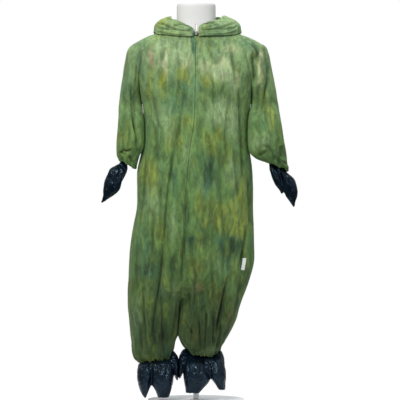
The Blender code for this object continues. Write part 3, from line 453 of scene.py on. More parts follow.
def turned_as(fine, columns_by, coarse):
    """Normals of the finely drawn grid, on the side that the coarse grid's are on."""
    found = normals_of(fine)
    return found * np.sign(np.einsum("ijk,ijk->ij", found[::ROWS_BY, ::columns_by], coarse).sum())


def garment_grids():
    """Points and normals of the four panels and the two sleeves, finely drawn, with no folds yet."""
    tables = {"right": RIGHT_SLEEVE, "left": LEFT_SLEEVE}
    halves = {"right": RIGHT_HALF, "left": LEFT_HALF}
    grids, normals = {}, {}
    cap = len(CHEST)
    for side, table in tables.items():
        side_of = 1 if side == "left" else -1
        sleeve = sleeve_grid(table)
        open_by = np.array([row[-1] for row in table]) * MM
        turned = {}
        for back in (False, True):
            name = ("back_" if back else "front_") + side
            grid = panel_grid(halves[side], sleeve, back)
            middle = grid.mean(axis=1) * (1, 0, 1) - (side_of * 0.02, 0, 0)
            turned[name] = outward(grid, normals_of(grid), middle)
            grids[name] = grid
        middle = sleeve.mean(axis=1)
        middle[:cap - 2] = sleeve[:cap - 2, [0, -1]].mean(axis=1) - np.array([0, 0, 0.06])
        facing = outward(sleeve, normals_of(sleeve), middle)
        pull_back(sleeve, facing, 0, 1, open_by + SEAM_GAP / 2)
        pull_back(sleeve, facing, -1, -2, SEAM_GAP / 2)
        for back in (False, True):
            name = ("back_" if back else "front_") + side
            grid = grids[name]
            heights = grid[:, 0, 2]
            leg = 1 - smooth(CROTCH, CROTCH_TOP, heights)
            seam = np.full(len(grid), SEAM_GAP / 2)
            if not back:
                seam[:cap + 1] += open_by[:cap + 1]
            pull_back(grid, turned[name], -1, -2, seam)
            pull_back(grid, turned[name], 0, 1, SEAM_GAP / 2)
            centre = SEAM_GAP / 2 if back else ZIP_GAP / 2
            clear = np.where(heights > ZIP_BOTTOM, centre * (1 - leg), 0) + LEG_CLEARANCE * leg
            toward_side = 1 - np.arange(PANEL_COLUMNS) / (PANEL_COLUMNS - 1)
            grid[:, :, 0] += side_of * clear[:, None] * toward_side
            fine = between(grid, ROWS_BY, PANEL_BY)
            near_inside = np.exp(-(((fine[:, :, 0] - fine[:, :1, 0]) / LEG_PRESS_REACH) ** 2))
            leg = 1 - smooth(LEG_PRESS_FROM, LEG_PRESS_TO, fine[:, :1, 2])
            fine[:, :, 0] += LEG_PRESS * leg * near_inside * np.sin(fine[:, :, 1] / LEG_PRESS_WAVE)
            grids[name], normals[name] = fine, turned_as(fine, PANEL_BY, turned[name])
        fine = between(sleeve, ROWS_BY, SLEEVE_BY)
        grids[f"sleeve_{side}"], normals[f"sleeve_{side}"] = fine, turned_as(fine, SLEEVE_BY, facing)
    edge = (cap - 1) * ROWS_BY
    first, last = slice(0, edge + 1), slice(edge, None)
    for side in tables:
        sleeve, front, back = (normals[f"{piece}_{side}"] for piece in ("sleeve", "front", "back"))
        share(front, first, -1, sleeve, first, 0)
        share(back, first, -1, sleeve, first, -1)
        share(front, last, -1, back, last, -1)
        share(sleeve, last, 0, sleeve, last, -1)
        legs = slice(int(np.argmax(grids[f"front_{side}"][:, 0, 2] < CROTCH)), None)
        share(front, legs, 0, back, legs, 0)
    high = slice(0, int(np.argmax(grids["front_right"][:, 0, 2] < CROTCH_TOP)))
    share(normals["front_right"], high, 0, normals["front_left"], high, 0)
    share(normals["back_right"], high, 0, normals["back_left"], high, 0)
    return grids, normals


def line_through(row):
    """Points of the smooth line through a fold's three places, and how far along each lies."""
    x0, z0, x1, z1, x2, z2 = (value * MM for value in row[:6])
    t = np.linspace(0, 1, 25)
    x = x0 * (1 - t) * (1 - 2 * t) + 4 * x1 * t * (1 - t) + x2 * t * (2 * t - 1)
    z = z0 * (1 - t) * (1 - 2 * t) + 4 * z1 * t * (1 - t) + z2 * t * (2 * t - 1)
    return x, z, t


SHARPER = 1.6  # the small creases are narrower and deeper than the big folds


def pressed_in(x, z, folds):
    """How far the folds press each point inwards. Their ends run out, and one side is steeper."""
    depth = np.zeros_like(x)
    for row in folds:
        deep, width = row[6] * MM * (1 if abs(row[6]) > 3.5 else SHARPER), row[7] * MM / SHARPER ** 0.5
        line_x, line_z, along = line_through(row)
        near = ((x > line_x.min() - 3 * width) & (x < line_x.max() + 3 * width)
                & (z > line_z.min() - 3 * width) & (z < line_z.max() + 3 * width))
        if not near.any():
            continue
        px, pz = x[near][:, None], z[near][:, None]
        ax, az, bx, bz = line_x[:-1], line_z[:-1], line_x[1:], line_z[1:]
        dx, dz = bx - ax, bz - az
        s = np.clip(((px - ax) * dx + (pz - az) * dz) / (dx * dx + dz * dz), 0, 1)
        off_x, off_z = px - ax - s * dx, pz - az - s * dz
        off = np.hypot(off_x, off_z)
        best = off.argmin(axis=1)
        pick = np.arange(len(best))
        t = along[best] + s[pick, best] * (along[1] - along[0])
        turned = np.sign(off_x[pick, best] * dz[best] - off_z[pick, best] * dx[best])
        wide = width * np.where(turned > 0, 0.75, 1.3)
        ends = smooth(0, 0.25, t) * smooth(0, 0.25, 1 - t)
        depth[near] += deep * ends * np.exp(-((off[pick, best] / wide) ** 2))
    return depth


def uneven(points, size, tall=1.0, seed=0.0):
    """Slow, seeded unevenness from -1 to 1 over the points, stretched upwards."""
    flat = points.reshape(-1, 3) / size
    flat[:, 2] /= tall
    values = [noise.noise(Vector((p[0] + seed, p[1] - seed, p[2] + 2 * seed))) for p in flat]
    return np.array(values).reshape(points.shape[:-1])


def gather_wave(turn, waves, phase):
    """Uneven gathers: turn runs from 0 to 1 round the opening."""
    even = np.cos(2 * math.pi * waves * turn + phase)
    slow = 0.35 * np.cos(2 * math.pi * 2 * turn + 1.3 * phase)
    beat = 0.35 * np.cos(2 * math.pi * (waves - 3) * turn + 2.1 * phase)
    return even * (1 + slow) + beat


def run_from(grid, axis):
    """How far each point lies from the grid's first row or column, along the cloth."""
    steps = np.linalg.norm(np.diff(grid, axis=axis), axis=2)
    zero = np.zeros_like(grid[:1, :, 0] if axis == 0 else grid[:, :1, 0])
    return np.concatenate([zero, np.cumsum(steps, axis=axis)], axis=axis)


# Fine gathers: depth, how far they reach from the edge, their number and how much they drift over 100 mm
ANKLE_FINE, CUFF_FINE = (2.1 * MM, 26 * MM, 23, 9), (1.3 * MM, 20 * MM, 17, 7)
DRIFT_OVER = 100 * MM
# Hems: the stitch line's place, dip and half width, then how far the edge rolls in and over what length
ANKLE_HEM = (11 * MM, 1.1 * MM, 1.6 * MM, 3.0 * MM, 5 * MM)
CUFF_HEM = (9 * MM, 1.0 * MM, 1.5 * MM, 2.6 * MM, 4 * MM)
# Slackness of the cloth: depth, size in metres, how much taller than wide, and a seed
PANEL_SLACK = ((1.5 * MM, 0.045, 2.6, 3.1), (0.7 * MM, 0.016, 2.2, 7.7))
SLEEVE_SLACK = ((1.3 * MM, 0.04, 2.2, 11.0), (0.7 * MM, 0.015, 2.0, 4.4))
HOOD_SLACK = ((1.4 * MM, 0.03, 1.0, 2.2), (0.6 * MM, 0.012, 1.0, 6.1))
# Puckers along the side seam and ripples along the zip, with how far they reach and where they start
PUCKER, PUCKER_REACH, PUCKER_FROM = ((0.6 * MM, 0.007, 1.0, 5.0),), 9 * MM, 2 * MM
RIPPLE, RIPPLE_REACH, RIPPLE_FROM = ((0.8 * MM, 0.013, 1.0, 9.0),), 12 * MM, 3 * MM
ZIP_STITCH, ZIP_RUN_OUT = 5.5 * MM, 20 * MM
CUFF_GATHER_FROM, CUFF_GATHER_TO = 5 * MM, 60 * MM
UNDER_ARM = (670 * MM, 700 * MM, 805 * MM, 830 * MM)  # where the seams flatten: from, whole, to and gone
EDGE_FADE = 12 * MM  # folds run out this far from a seam
SEAM_DIP, SEAM_HALF = 1.5 * MM, 2.6 * MM
STITCH_DIP, STITCH_HALF = 0.7 * MM, 1.3 * MM


def groove(distance, at, deep, half):
    """A rounded groove along a seam or a row of stitches."""
    return deep * np.exp(-(((distance - at) / half) ** 2))


def slack(points, layers):
    """The cloth's slackness: its seeded unevenness, coarse and fine."""
    return sum(depth * uneven(points, size, tall, seed) for depth, size, tall, seed in layers)


def fine_gathers(turn, from_hem, how, phase):
    """The small gathers that the hem draws in, which die away from it."""
    depth, reach, waves, drift = how
    return depth * np.exp(-from_hem / reach) * gather_wave(turn, waves, phase + drift * from_hem / DRIFT_OVER)


def hemmed(from_hem, how):
    """The hem's row of stitches, and its edge rolled in."""
    stitch, dip, half, rolled, reach = how
    return groove(from_hem, stitch, dip, half) + rolled * np.clip(1 - from_hem / reach, 0, 1) ** 2


def under_arm(z):
    """1 where sleeve and side press on each other, so that the seams there lie flat."""
    return smooth(*UNDER_ARM[:2], z) * (1 - smooth(*UNDER_ARM[2:], z))


def panel_relief(name, grid):
    """How far each point of a front or back lies inside its smooth form."""
    back, side_of = name.startswith("back"), 1 if name.endswith("left") else -1
    x, z = grid[:, :, 0], grid[:, :, 2]
    from_centre = run_from(grid, 1)
    from_side = from_centre[:, -1:] - from_centre
    down = run_from(grid, 0)
    from_hem = down[-1:] - down
    folds, creases = (BACK_FOLDS, BACK_CREASES) if back else (FRONT_FOLDS, FRONT_CREASES)
    fade = smooth(0, EDGE_FADE, from_centre) * smooth(0, EDGE_FADE, from_side)
    creased = pressed_in(x, z, creases)
    relief = fade * (pressed_in(x, z, folds) + creased + slack(grid, PANEL_SLACK))
    relief += groove(from_side, 0, SEAM_DIP, SEAM_HALF) * (1 - under_arm(z))
    pucker = slack(grid, PUCKER) * np.exp(-from_side / PUCKER_REACH)
    relief += pucker * smooth(0, PUCKER_FROM, from_side)
    heights = grid[:, :1, 2]
    if back:
        relief += groove(from_centre, 0, SEAM_DIP, SEAM_HALF)
    else:
        zip_here = smooth(ZIP_BOTTOM - ZIP_RUN_OUT, ZIP_BOTTOM, heights)
        relief += groove(from_centre, 0, SEAM_DIP, SEAM_HALF) * (1 - 0.4 * zip_here)
        relief += groove(from_centre, ZIP_STITCH, STITCH_DIP, STITCH_HALF) * zip_here
        ripple = slack(grid, RIPPLE) * np.exp(-from_centre / RIPPLE_REACH)
        relief += ripple * smooth(0, RIPPLE_FROM, from_centre) * zip_here
    s = np.linspace(0, 1, grid.shape[1])[None, :]
    turn = 1 - s / 2 if back else s / 2
    phase = 0.6 if side_of > 0 else 2.2
    low = 1 - smooth(0, GATHER_REACH, z - ANKLE)
    relief -= ANKLE_WAVE * low * gather_wave(turn, ANKLE_GATHERS, phase)
    relief -= fine_gathers(turn, from_hem, ANKLE_FINE, 3 * phase)
    relief += hemmed(from_hem, ANKLE_HEM)
    inside = 1 - smooth(CROTCH_TOP, FLAT_UP_TO, heights)
    return relief * (1 - inside * np.exp(-((from_centre / FLAT_INSIDE) ** 2))), creased


def sleeve_relief(name, grid):
    """How far each point of a sleeve lies inside its smooth form."""
    x, z = grid[:, :, 0], grid[:, :, 2]
    across = run_from(grid, 1)
    from_front, from_back = across, across[:, -1:] - across
    down = run_from(grid, 0)
    from_hem = down[-1:] - down
    fade = smooth(0, EDGE_FADE, from_front) * smooth(0, EDGE_FADE, from_back)
    front = np.arange(grid.shape[1])[None, :] <= grid.shape[1] // 2
    seen, creases, behind = RIGHT_SLEEVE_FOLDS, RIGHT_SLEEVE_CREASES, SLEEVE_BACK_CREASES
    if name.endswith("left"):
        seen, creases = LEFT_SLEEVE_FOLDS, LEFT_SLEEVE_CREASES
    creased = np.where(front, pressed_in(x, z, creases), pressed_in(-abs(x), z, behind))
    pressed = creased + np.where(front, pressed_in(x, z, seen), 0)
    relief = fade * (pressed + slack(grid, SLEEVE_SLACK))
    seams = groove(from_front, 0, SEAM_DIP, SEAM_HALF) + groove(from_back, 0, SEAM_DIP, SEAM_HALF)
    relief += seams * (1 - under_arm(z))
    t = np.linspace(0, 1, grid.shape[1])[None, :]
    cuff = 1 - smooth(CUFF_GATHER_FROM, CUFF_GATHER_TO, from_hem)
    relief -= CUFF_WAVE * cuff * gather_wave(t, CUFF_GATHERS, 0.7)
    relief -= fine_gathers(t, from_hem, CUFF_FINE, 1.9)
    relief += hemmed(from_hem, CUFF_HEM)
    return relief, creased


CREASE_PAINTED_SHADE_DEPTH = 7.5 * MM  # the depth of crease at which the painted crease shade is full


def cloth(name, grid, normal, material, wall=WALL, lift=0.0, slot="plush_green", creased=None):
    """A thin closed piece of cloth with a rounded edge. The grid is its outer side. Creased is how deep a
    crease each of its points lies in; it is kept on the mesh as painted shade that darkens the plush's
    colour."""
    outer, inner = grid + lift * normal, grid + (lift - wall) * normal
    rows, columns = grid.shape[:2]
    faces = cloth_faces(rows, columns)
    if (normals_of(grid) * normal).sum() < 0:
        faces = [face[::-1] for face in faces]
    points = np.concatenate([outer.reshape(-1, 3), inner.reshape(-1, 3)])
    item = piece(name, points, faces, material, slot)
    # Painted shade: how deep each point lies in a crease is stored on the mesh, and the plush's colour is
    # darkened by it.
    if creased is not None:
        painted_shade = np.clip(creased / CREASE_PAINTED_SHADE_DEPTH, 0, 1).ravel()
        shade = item.data.attributes.new("creased", "FLOAT", "POINT")
        shade.data.foreach_set("value", np.concatenate([painted_shade, painted_shade]))
    return item


def placed(name, data):
    """A new object in the scene, with this mesh, light or camera."""
    item = bpy.data.objects.new(name, data)
    bpy.context.scene.collection.objects.link(item)
    return item


def piece(name, points, faces, material, slot, body=BODY):
    """A smooth mesh of one material, riding on a body; its slot is not used."""
    mesh = bpy.data.meshes.new(name)
    mesh.from_pydata(points.tolist() if hasattr(points, "tolist") else points, [], faces)
    mesh.materials.append(material)
    mesh.validate()
    mesh.shade_smooth()
    item = placed(name, mesh)
    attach(item, body)
    return item


# The folded hood's section, from the centre front (0) round the neck to the centre back (1), in mm:
# how far it leans in to the neck, its rise, how far it rolls out, and how far the roll hangs.
HOOD_COLUMNS = ("round", "lean", "rise", "reach", "drop")
HOOD = (
    (0.00, 5, 22, 6, 4),
    (0.10, 14, 32, 9, 6),
    (0.25, 32, 40, 12, 7),
    (0.45, 40, 43, 11, 5),
    (0.60, 36, 43, 15, 3),
    (0.74, 27, 42, 34, 22),
    (0.87, 12, 38, 49, 92),
    (1.00, 7, 36, 55, 150),
)
HOOD_SIZE = {"right": 1.0, "left": 1.1}
# The roll's own line, from the neckline up inside, over the top and down outside to its edge. Each
# row gives shares of the lean, the reach, the rise and the drop.
HOOD_PROFILE = (
    (-0.10, 0, 0.00, 0), (-0.45, 0, 0.50, 0), (-0.88, 0, 0.82, 0), (-0.90, 0, 1.00, 0),
    (-0.56, 0.04, 0.93, 0), (-0.14, 0.30, 0.70, 0), (0, 0.70, 0.44, 0), (0, 0.94, 0.22, -0.35),
    (0, 1.00, 0.10, -0.75), (0, 0.92, 0.07, -1.00), (0, 0.76, 0.15, -0.92), (0, 0.70, 0.25, -0.70),
)
HOOD_AROUND = 19
HOOD_ROWS_BY, HOOD_COLUMNS_BY = 5, 8
HOOD_GATHERS, HOOD_GATHER, HOOD_GATHER_REACH = 24, 1.0 * MM, 16 * MM
HOOD_STITCH = (9 * MM, 0.8 * MM, 1.3 * MM)  # from the edge, its dip and half width
HOOD_FRONT_FADE, HOOD_BACK_FADE = 9 * MM, 6 * MM
ROLL_OUT, ROLL_SIDE = 7, 6  # the profile rows that lie well out
HOOD_LIFT = 1.0 * MM  # of the hood's seam over the neckline
HOOD_END = 7.0 * MM  # of each half from the centre front, where the zip ends

# Padded pieces, in mm: height, left and right side as seen from the front, front and back depth,
# and how much the section rises for each mm to the right.
PADS = {
    "hand_claw_right_front": (
        (670, -206, -195, -32, -26, -0.48), (661, -212, -193, -36, -25, -0.48),
        (650, -234, -195, -52, -26, -0.3), (636, -246, -204, -55, -27, -0.1),
        (614, -255, -208, -56, -27.4, 0), (592, -258, -215, -53, -30, 0), (579, -256, -231, -49, -33, 0),
        (567, -260, -249, -45, -36, 0), (558, -266, -261, -43, -39, 0)),
    "hand_claw_right_back": (
        (673, -209, -193, -24, -12, -0.48), (660, -213, -191, -24.6, -10, -0.48),
        (648, -230, -195, -25.6, -4, -0.3), (630, -243, -203, -26.6, -4, -0.1),
        (610, -252, -212, -27, -6, 0), (597, -256, -232, -24, -10, 0), (588, -258, -252, -20, -14, 0)),
    "hand_claw_left_front": (
        (675, 210, 221, -20, -14, -0.48), (664, 205, 222, -27, -14, -0.48),
        (650, 206, 228, -38, -12, -0.3), (626, 214, 237, -42, -12, 0), (606, 224, 242, -38, -14, 0),
        (594, 233, 243, -33, -18, 0), (583, 238, 241, -29, -23, 0)),
    "hand_claw_left_back": (
        (668, 223, 246, -28, -13, -0.48), (654, 223, 248, -28, -13, -0.48),
        (640, 229, 262, -42, -8, -0.3), (626, 238, 272, -46, -6, 0), (606, 243, 279, -44, -7, 0),
        (594, 244.5, 282, -42, -9, 0), (576, 252, 281, -38, -13, 0), (562, 262, 275, -32, -19, 0),
        (546, 271, 275, -28, -24, 0)),
    "foot_claw_right_outer": (
        (121, -146, -130, -20, -6, 0.12), (113.7, -148, -128.5, -27, -8, 0.12),
        (112.1, -159, -128.2, -56, -8, 0.12), (96, -162, -124.8, -63, -8, 0),
        (80, -163, -122, -67, -10, 0), (56, -161, -123, -67, -14, 0), (43, -157, -129, -63, -20, 0),
        (26, -150, -137, -56, -30, 0), (15, -143, -139, -48, -40, 0)),
    "foot_claw_right_middle": (
        (127, -122, -92, -20, -6, 0.14), (118.4, -125, -86, -26, -8, 0.16),
        (116.9, -126.6, -74, -60, -12, 0.16), (99, -124.8, -64.5, -76, -14, 0.05),
        (80, -122.9, -62.5, -82, -16, 0), (56, -123.5, -65, -82, -22, 0), (39, -114, -70, -78, -30, 0),
        (22, -105, -76, -70, -42, 0), (17, -103, -78, -68, -45, 0)),
    "foot_claw_right_inner": (
        (138, -67.3, -57, -24, 4, 0), (122.5, -72, -51, -44, 8, 0), (104, -63.5, -49.4, -48, 10, 0),
        (84, -62, -49.6, -46, 8, 0), (71, -58, -49.6, -38, 2, 0), (62, -54, -50, -28, -14, 0)),
    "foot_claw_left_inner": (
        (146, -37, -30, -18, 2, 0), (131, -46, -20, -40, 6, 0), (112, -48, -29, -52, 8, 0),
        (96, -49, -36, -50, 8, 0), (80, -49, -38, -42, 2, 0), (68, -48, -44, -28, -14, 0)),
    "foot_claw_left_middle": (
        (136, -6, 13, -20, -9.5, -0.08), (125, -9, 15, -26, -9.5, -0.08), (121, -20, 17, -58, -10, -0.05),
        (112, -30, 20, -74, -12, 0), (90, -35, 31, -82, -16, 0), (70, -33, 41, -82, -22, 0),
        (50, -30, 26, -79, -30, 0), (40, -28, 17, -75, -36, 0), (30, -27, 9, -70, -44, 0)),
    "foot_claw_left_outer": (
        (133, 20, 44, -18, -9.5, -0.1), (125.8, 18.5, 50, -25, -9.5, -0.1),
        (124.2, 19, 72, -56, -6, -0.1), (100, 26, 79, -70, -6, 0), (85, 33.4, 81, -74, -10, 0),
        (70, 42, 81, -73, -16, 0), (55, 54, 80, -68, -26, 0), (43, 62, 80, -62, -34, 0),
        (38, 66, 79, -58, -38, 0)),
}

# The dress form, with columns as for the claws; its shoulders carry the sleeves.
FORM = (
    (1114, -52, 53, -50, 46, 0), (1108, -54, 55, -53, 49, 0), (1070, -54, 55, -52, 48, 0),
    (1052, -57, 58, -53, 49, 0), (1036, -76, 80, -56, 50, 0), (1023.8, -120, 126, -60, 52, 0),
    (1009.8, -156, 161.2, -62, 54, 0), (995.8, -178, 185.4, -62, 54, 0), (979.8, -188, 198.4, -60, 54, 0),
    (960, -188, 196, -66, 58, 0), (930, -150, 150, -76, 68, 0), (880, -128, 128, -86, 76, 0),
    (820, -120, 120, -88, 76, 0), (740, -104, 104, -76, 68, 0), (650, -108, 108, -78, 76, 0),
    (560, -120, 120, -80, 86, 0), (500, -116, 116, -74, 80, 0), (470, -100, 100, -60, 66, 0),
)

# The slider's sections, in mm, with columns as for the claws
SLIDER_SIDES, SLIDER_SQUARE = 40, 0.7
SLIDER = (
    (1022, -2.4, 2.4, -76.0, -71.9, 0), (1027, -4.2, 4.2, -77.0, -72.2, 0),
    (1036, -4.6, 4.6, -77.2, -73.0, 0), (1038, -3.8, 3.8, -76.8, -73.3, 0),
)
TAB_HINGE = (0.0 * MM, -79.2 * MM, 1032.5 * MM)
TAB_WIDTH, TAB_LONG, TAB_THICK = 5.0 * MM, 22 * MM, 1.3 * MM
TAB_LEAN = math.radians(12)  # back against the zip's end
LUG_WIDTH, LUG_REACH, LUG_TALL = 1.0 * MM, 3.4 * MM, 3.4 * MM
LUG_ROOT = -76.2 * MM  # inside the slider's face

LABEL_TOP = (134 * MM, 406 * MM)
LABEL_BOTTOM = (127.5 * MM, 370 * MM)
LABEL_WIDTH, LABEL_LONG = 11 * MM, 37 * MM
STITCH_SIZE = (0.7 * MM, 0.2 * MM, 0.3 * MM)


def along_line(points, share_of):
    """The point at a share of a line's length."""
    steps = np.concatenate([[0], np.cumsum(np.linalg.norm(np.diff(points, axis=0), axis=1))])
    return np.array([np.interp(share_of * steps[-1], steps, points[:, k]) for k in range(3)])


def hood_grid(side, grids):
    """Points of half the folded hood: rows up from the neckline, over the roll and under it."""
    neckline = np.concatenate([grids[f"front_{side}"][0], grids[f"sleeve_{side}"][0],
                               grids[f"back_{side}"][0][::-1]])
    read = reader(HOOD, HOOD_COLUMNS, "round")
    size, side_of = HOOD_SIZE[side], (1 if side == "left" else -1)
    columns = []
    for j in range(HOOD_AROUND):
        t = j / (HOOD_AROUND - 1)
        base = along_line(neckline, t)
        ends = HOOD_END * (1 - smooth(0, 0.08, t)) + SEAM_GAP / 2
        base[0] = side_of * max(side_of * base[0], ends)
        out = Vector((base[0] * (0.75 if t > 0.5 else 1), base[1] + 5 * MM, 0)).normalized()
        if t in (0, 1):
            out = Vector((0, -1 if t == 0 else 1, 0))
        out = np.array(out)
        lean, rise, reach, drop = (read(key, t) * MM * size for key in HOOD_COLUMNS[1:])
        drop = drop / size
        uneven = 1 + 0.05 * math.sin(9 * t + 2 * side_of)
        rise *= uneven
        column_points = []
        for lean_share, reach_share, rise_share, drop_share in HOOD_PROFILE:
            away = lean * lean_share + reach * reach_share
            up = HOOD_LIFT + rise * rise_share + drop * drop_share
            column_points.append(base + out * away + np.array([0, 0, up]))
        columns.append(column_points)
    return np.array(columns).transpose(1, 0, 2)


def hood_piece(side, grids, material):
    """Half of the folded hood, with its creases, gathers at the neckline and a stitched edge."""
    hood = between(hood_grid(side, grids), HOOD_ROWS_BY, HOOD_COLUMNS_BY)
    facing = normals_of(hood)
    out = hood[ROLL_OUT * HOOD_ROWS_BY] - hood[0]
    facing = facing * (1 if np.einsum("jk,jk->j", facing[ROLL_SIDE * HOOD_ROWS_BY], out).sum() > 0 else -1)
    facing[:, [0, -1], 0] = 0
    facing = unit(facing)
    across, down = run_from(hood, 1), run_from(hood, 0)
    long, tall = across.max(), down.max()
    around = np.linspace(0, 1, hood.shape[1])[None, :] + 0 * down
    over = down / down[-1:]
    scale = (long / MM, tall / MM) * 3
    creases = [tuple(v * s for v, s in zip(row, scale)) + row[6:] for row in HOOD_CREASES]
    creased = pressed_in(around * long, over * tall, creases)
    relief = creased + slack(hood, HOOD_SLACK)
    relief -= HOOD_GATHER * gather_wave(around, HOOD_GATHERS, 1.1) * np.exp(-down / HOOD_GATHER_REACH)
    relief += groove(down[-1:] - down, *HOOD_STITCH)
    ends = smooth(0, HOOD_FRONT_FADE, across) * smooth(0, HOOD_BACK_FADE, across[:, -1:] - across)
    hood = hood - (relief * ends)[:, :, None] * facing
    item = cloth(f"hood_{side}_cloth", hood, facing, material, creased=creased)
    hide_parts(f"hood_{side}")
    return item, hood


def zip_tape(side, grids, normals, material):
    """Half of the zip's tape, behind the front's edge and a little above the neckline."""
    grid, normal = grids[f"front_{side}"], normals[f"front_{side}"]
    rows = [i for i in range(0, len(grid), 2) if grid[i, 0, 2] > ZIP_BOTTOM - 5 * MM]
    side_of = 1 if side == "left" else -1
    strip, facing = [], []
    for i in rows:
        edge, turn = grid[i, 0], normal[i, 0]
        into, next_turn = grid[i, PANEL_BY] - grid[i, 0], normal[i, PANEL_BY]
        width = np.linalg.norm(into)
        points, turns = [], []
        for reach in np.linspace(-ZIP_GAP / 2 + SEAM_GAP, ZIP_TAPE, 5):
            points.append(edge + into * reach / width)
            turns.append(unit(turn + (next_turn - turn) * max(reach, 0) / width))
        strip.append([point - facing_out * (WALL + ZIP_SEAT) for point, facing_out in zip(points, turns)])
        facing.append(turns)
    above = np.array(strip[0])
    above[:, 0] = above[0, 0] + side_of * np.linspace(0, 3.2, 5) * MM
    above += np.array([0, -1.5, 14]) * MM
    strip, facing = np.array([above] + strip), np.array([facing[0]] + facing)
    item = cloth(f"zip_tape_{side}_cloth", strip, facing, material, ZIP_TAPE_THICK, slot="zip_cloth")
    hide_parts(f"zip_tape_{side}")
    return item, strip


TOOTH_STEP = 2.4 * MM
TOOTH = (2.0 * MM, 1.5 * MM, 1.3 * MM)


def zip_teeth(strips, material):
    """Moulded teeth along the middle of the tapes, from the neck to the zip's lower end."""
    middle = (strips[0][:, 0] + strips[1][:, 0]) / 2
    length = np.linalg.norm(np.diff(middle, axis=0), axis=1).sum()
    count = int(length / TOOTH_STEP)
    points, faces = [], []
    corners = np.array([(x, y, z) for x in (-0.5, 0.5) for y in (-0.5, 0.5) for z in (-0.5, 0.5)])
    quads = ((0, 1, 3, 2), (4, 6, 7, 5), (0, 4, 5, 1), (2, 3, 7, 6), (0, 2, 6, 4), (1, 5, 7, 3))
    for number in range(count):
        here = along_line(middle, (number + 0.5) / count)
        shift = np.array([0.5 * MM * (1 if number % 2 else -1), -0.9 * MM, 0])
        first = len(points)
        points += [tuple(here + shift + corner * TOOTH) for corner in corners]
        faces += [tuple(first + k for k in quad) for quad in quads]
    item = piece("zip_teeth", points, faces, material, "zip_cloth")
    item.data.shade_flat()
    bevel = item.modifiers.new("edges", "BEVEL")
    bevel.width, bevel.segments = 0.3 * MM, 2
    return item


def section_rows(rows, by, smoothing=2):
    """The sections with more between them and their corners rounded off."""
    table = np.array(rows, float)
    at = np.linspace(0, len(table) - 1, (len(table) - 1) * by + 1)
    number = np.arange(len(table))
    fine = np.stack([np.interp(at, number, table[:, k]) for k in range(table.shape[1])], axis=1)
    for _ in range(smoothing):
        fine[1:-1] = (fine[:-2] + 2 * fine[1:-1] + fine[2:]) / 4
    return fine


def section_points(rows, sides, square):
    """Points round each section."""
    angle = np.arange(sides) * 2 * math.pi / sides
    c, s = np.cos(angle), np.sin(angle)
    wide, deep = np.sign(c) * np.abs(c) ** square, np.sign(s) * np.abs(s) ** square
    z, left, right, front, back, tilt = (rows[:, k:k + 1] for k in range(6))
    across = wide * (right - left) / 2
    return np.stack([(left + right) / 2 + across, deep * (back - front) / 2 + (front + back) / 2,
                     z + tilt * across], axis=2) * MM


def capped(grid):
    """Faces of a closed body through rings of points, with each end drawn to its middle."""
    rows, sides = grid.shape[:2]
    points = np.concatenate([grid.reshape(-1, 3), [grid[0].mean(axis=0)], [grid[-1].mean(axis=0)]])
    faces = []
    for i in range(rows - 1):
        for k in range(sides):
            here, after = i * sides + k, i * sides + (k + 1) % sides
            faces.append((here, here + sides, after + sides, after))
    top, bottom, last = rows * sides, rows * sides + 1, (rows - 1) * sides
    faces += [(top, k, (k + 1) % sides) for k in range(sides)]
    faces += [(bottom, last + (k + 1) % sides, last + k) for k in range(sides)]
    return points, faces


def body_of_sections(name, rows, sides, square, material, slot, smoothing=2, by=4):
    """A closed body through sections given in mm."""
    points, faces = capped(section_points(section_rows(rows, by, smoothing), sides, square))
    return piece(name, points, faces, material, slot)


CLAW_SIDES, CLAW_BY = 40, 5
CLAW_GATHER, CLAW_GATHER_REACH = 0.9 * MM, 13 * MM
CLAW_SLACK = 1.3 * MM
CLAW_RIDGE = {"foot": 1.1 * MM, "hand": 0.5 * MM}
CLAW_GATHERS = {"foot": 31, "hand": 15}
CLAW_SWAY, CLAW_SWAY_WAVE = 2 * MM, 9 * MM  # the slack folds bend as they run over the side
CLAW_FOLD = 0.8
FILLED = 1.9 * MM  # how far the wadding swells the claws, so that they meet
CLAW_GRAIN = 1.7 * MM
PADDED = {
    "right_hand": ("hand_claw_right_front", "hand_claw_right_back"),
    "left_hand": ("hand_claw_left_front", "hand_claw_left_back"),
    "right_foot": ("foot_claw_right_outer", "foot_claw_right_middle", "foot_claw_right_inner"),
    "left_foot": ("foot_claw_left_inner", "foot_claw_left_middle", "foot_claw_left_outer"),
}
# The wadding between the claws of each foot, up behind the ends of its hem; columns as for the claws.
UPPER_FOOT = {
    "right_foot": (
        ((143, -67, -61, -20, 0, 0), (134, -70, -57, -26, 2, 0), (124, -71, -53, -34, 4, 0),
         (116, -86, -52, -44, 6, 0), (106, -100, -52, -56, 8, 0), (94, -104, -53, -58, 6, 0),
         (82, -96, -57, -50, 4, 0)),
        ((116, -146, -100, -24, -6, 0), (108, -154, -90, -48, 0, 0), (96, -156, -84, -60, -4, 0),
         (80, -152, -90, -60, -10, 0), (64, -146, -100, -56, -16, 0))),
    "left_foot": (
        ((150, -34, -27, -16, 2, 0), (141, -38, -15, -20, 4, 0), (134, -43, -5, -24, 6, 0),
         (128, -46, 4, -30, 6, 0),
         (121, -47, 8, -48, 6, 0), (111, -48, 16, -60, 4, 0), (97, -45, 20, -60, 0, 0)),
        ((147, 62, 67, -18, 2, 0), (140, 58, 72, -22, 4, 0), (132, 54, 75, -30, 6, 0),
         (121, 44, 77, -50, 4, 0), (108, 36, 79, -60, 0, 0), (92, 34, 78, -60, -4, 0)),
        ((137, 28, 56, -18, -10, 0), (130, 0, 54, -22, -10, 0), (122, -4, 48, -30, -10, 0),
         (114, -12, 56, -52, -6, 0), (102, -16, 62, -64, -6, 0), (84, -6, 64, -64, -12, 0))),
}
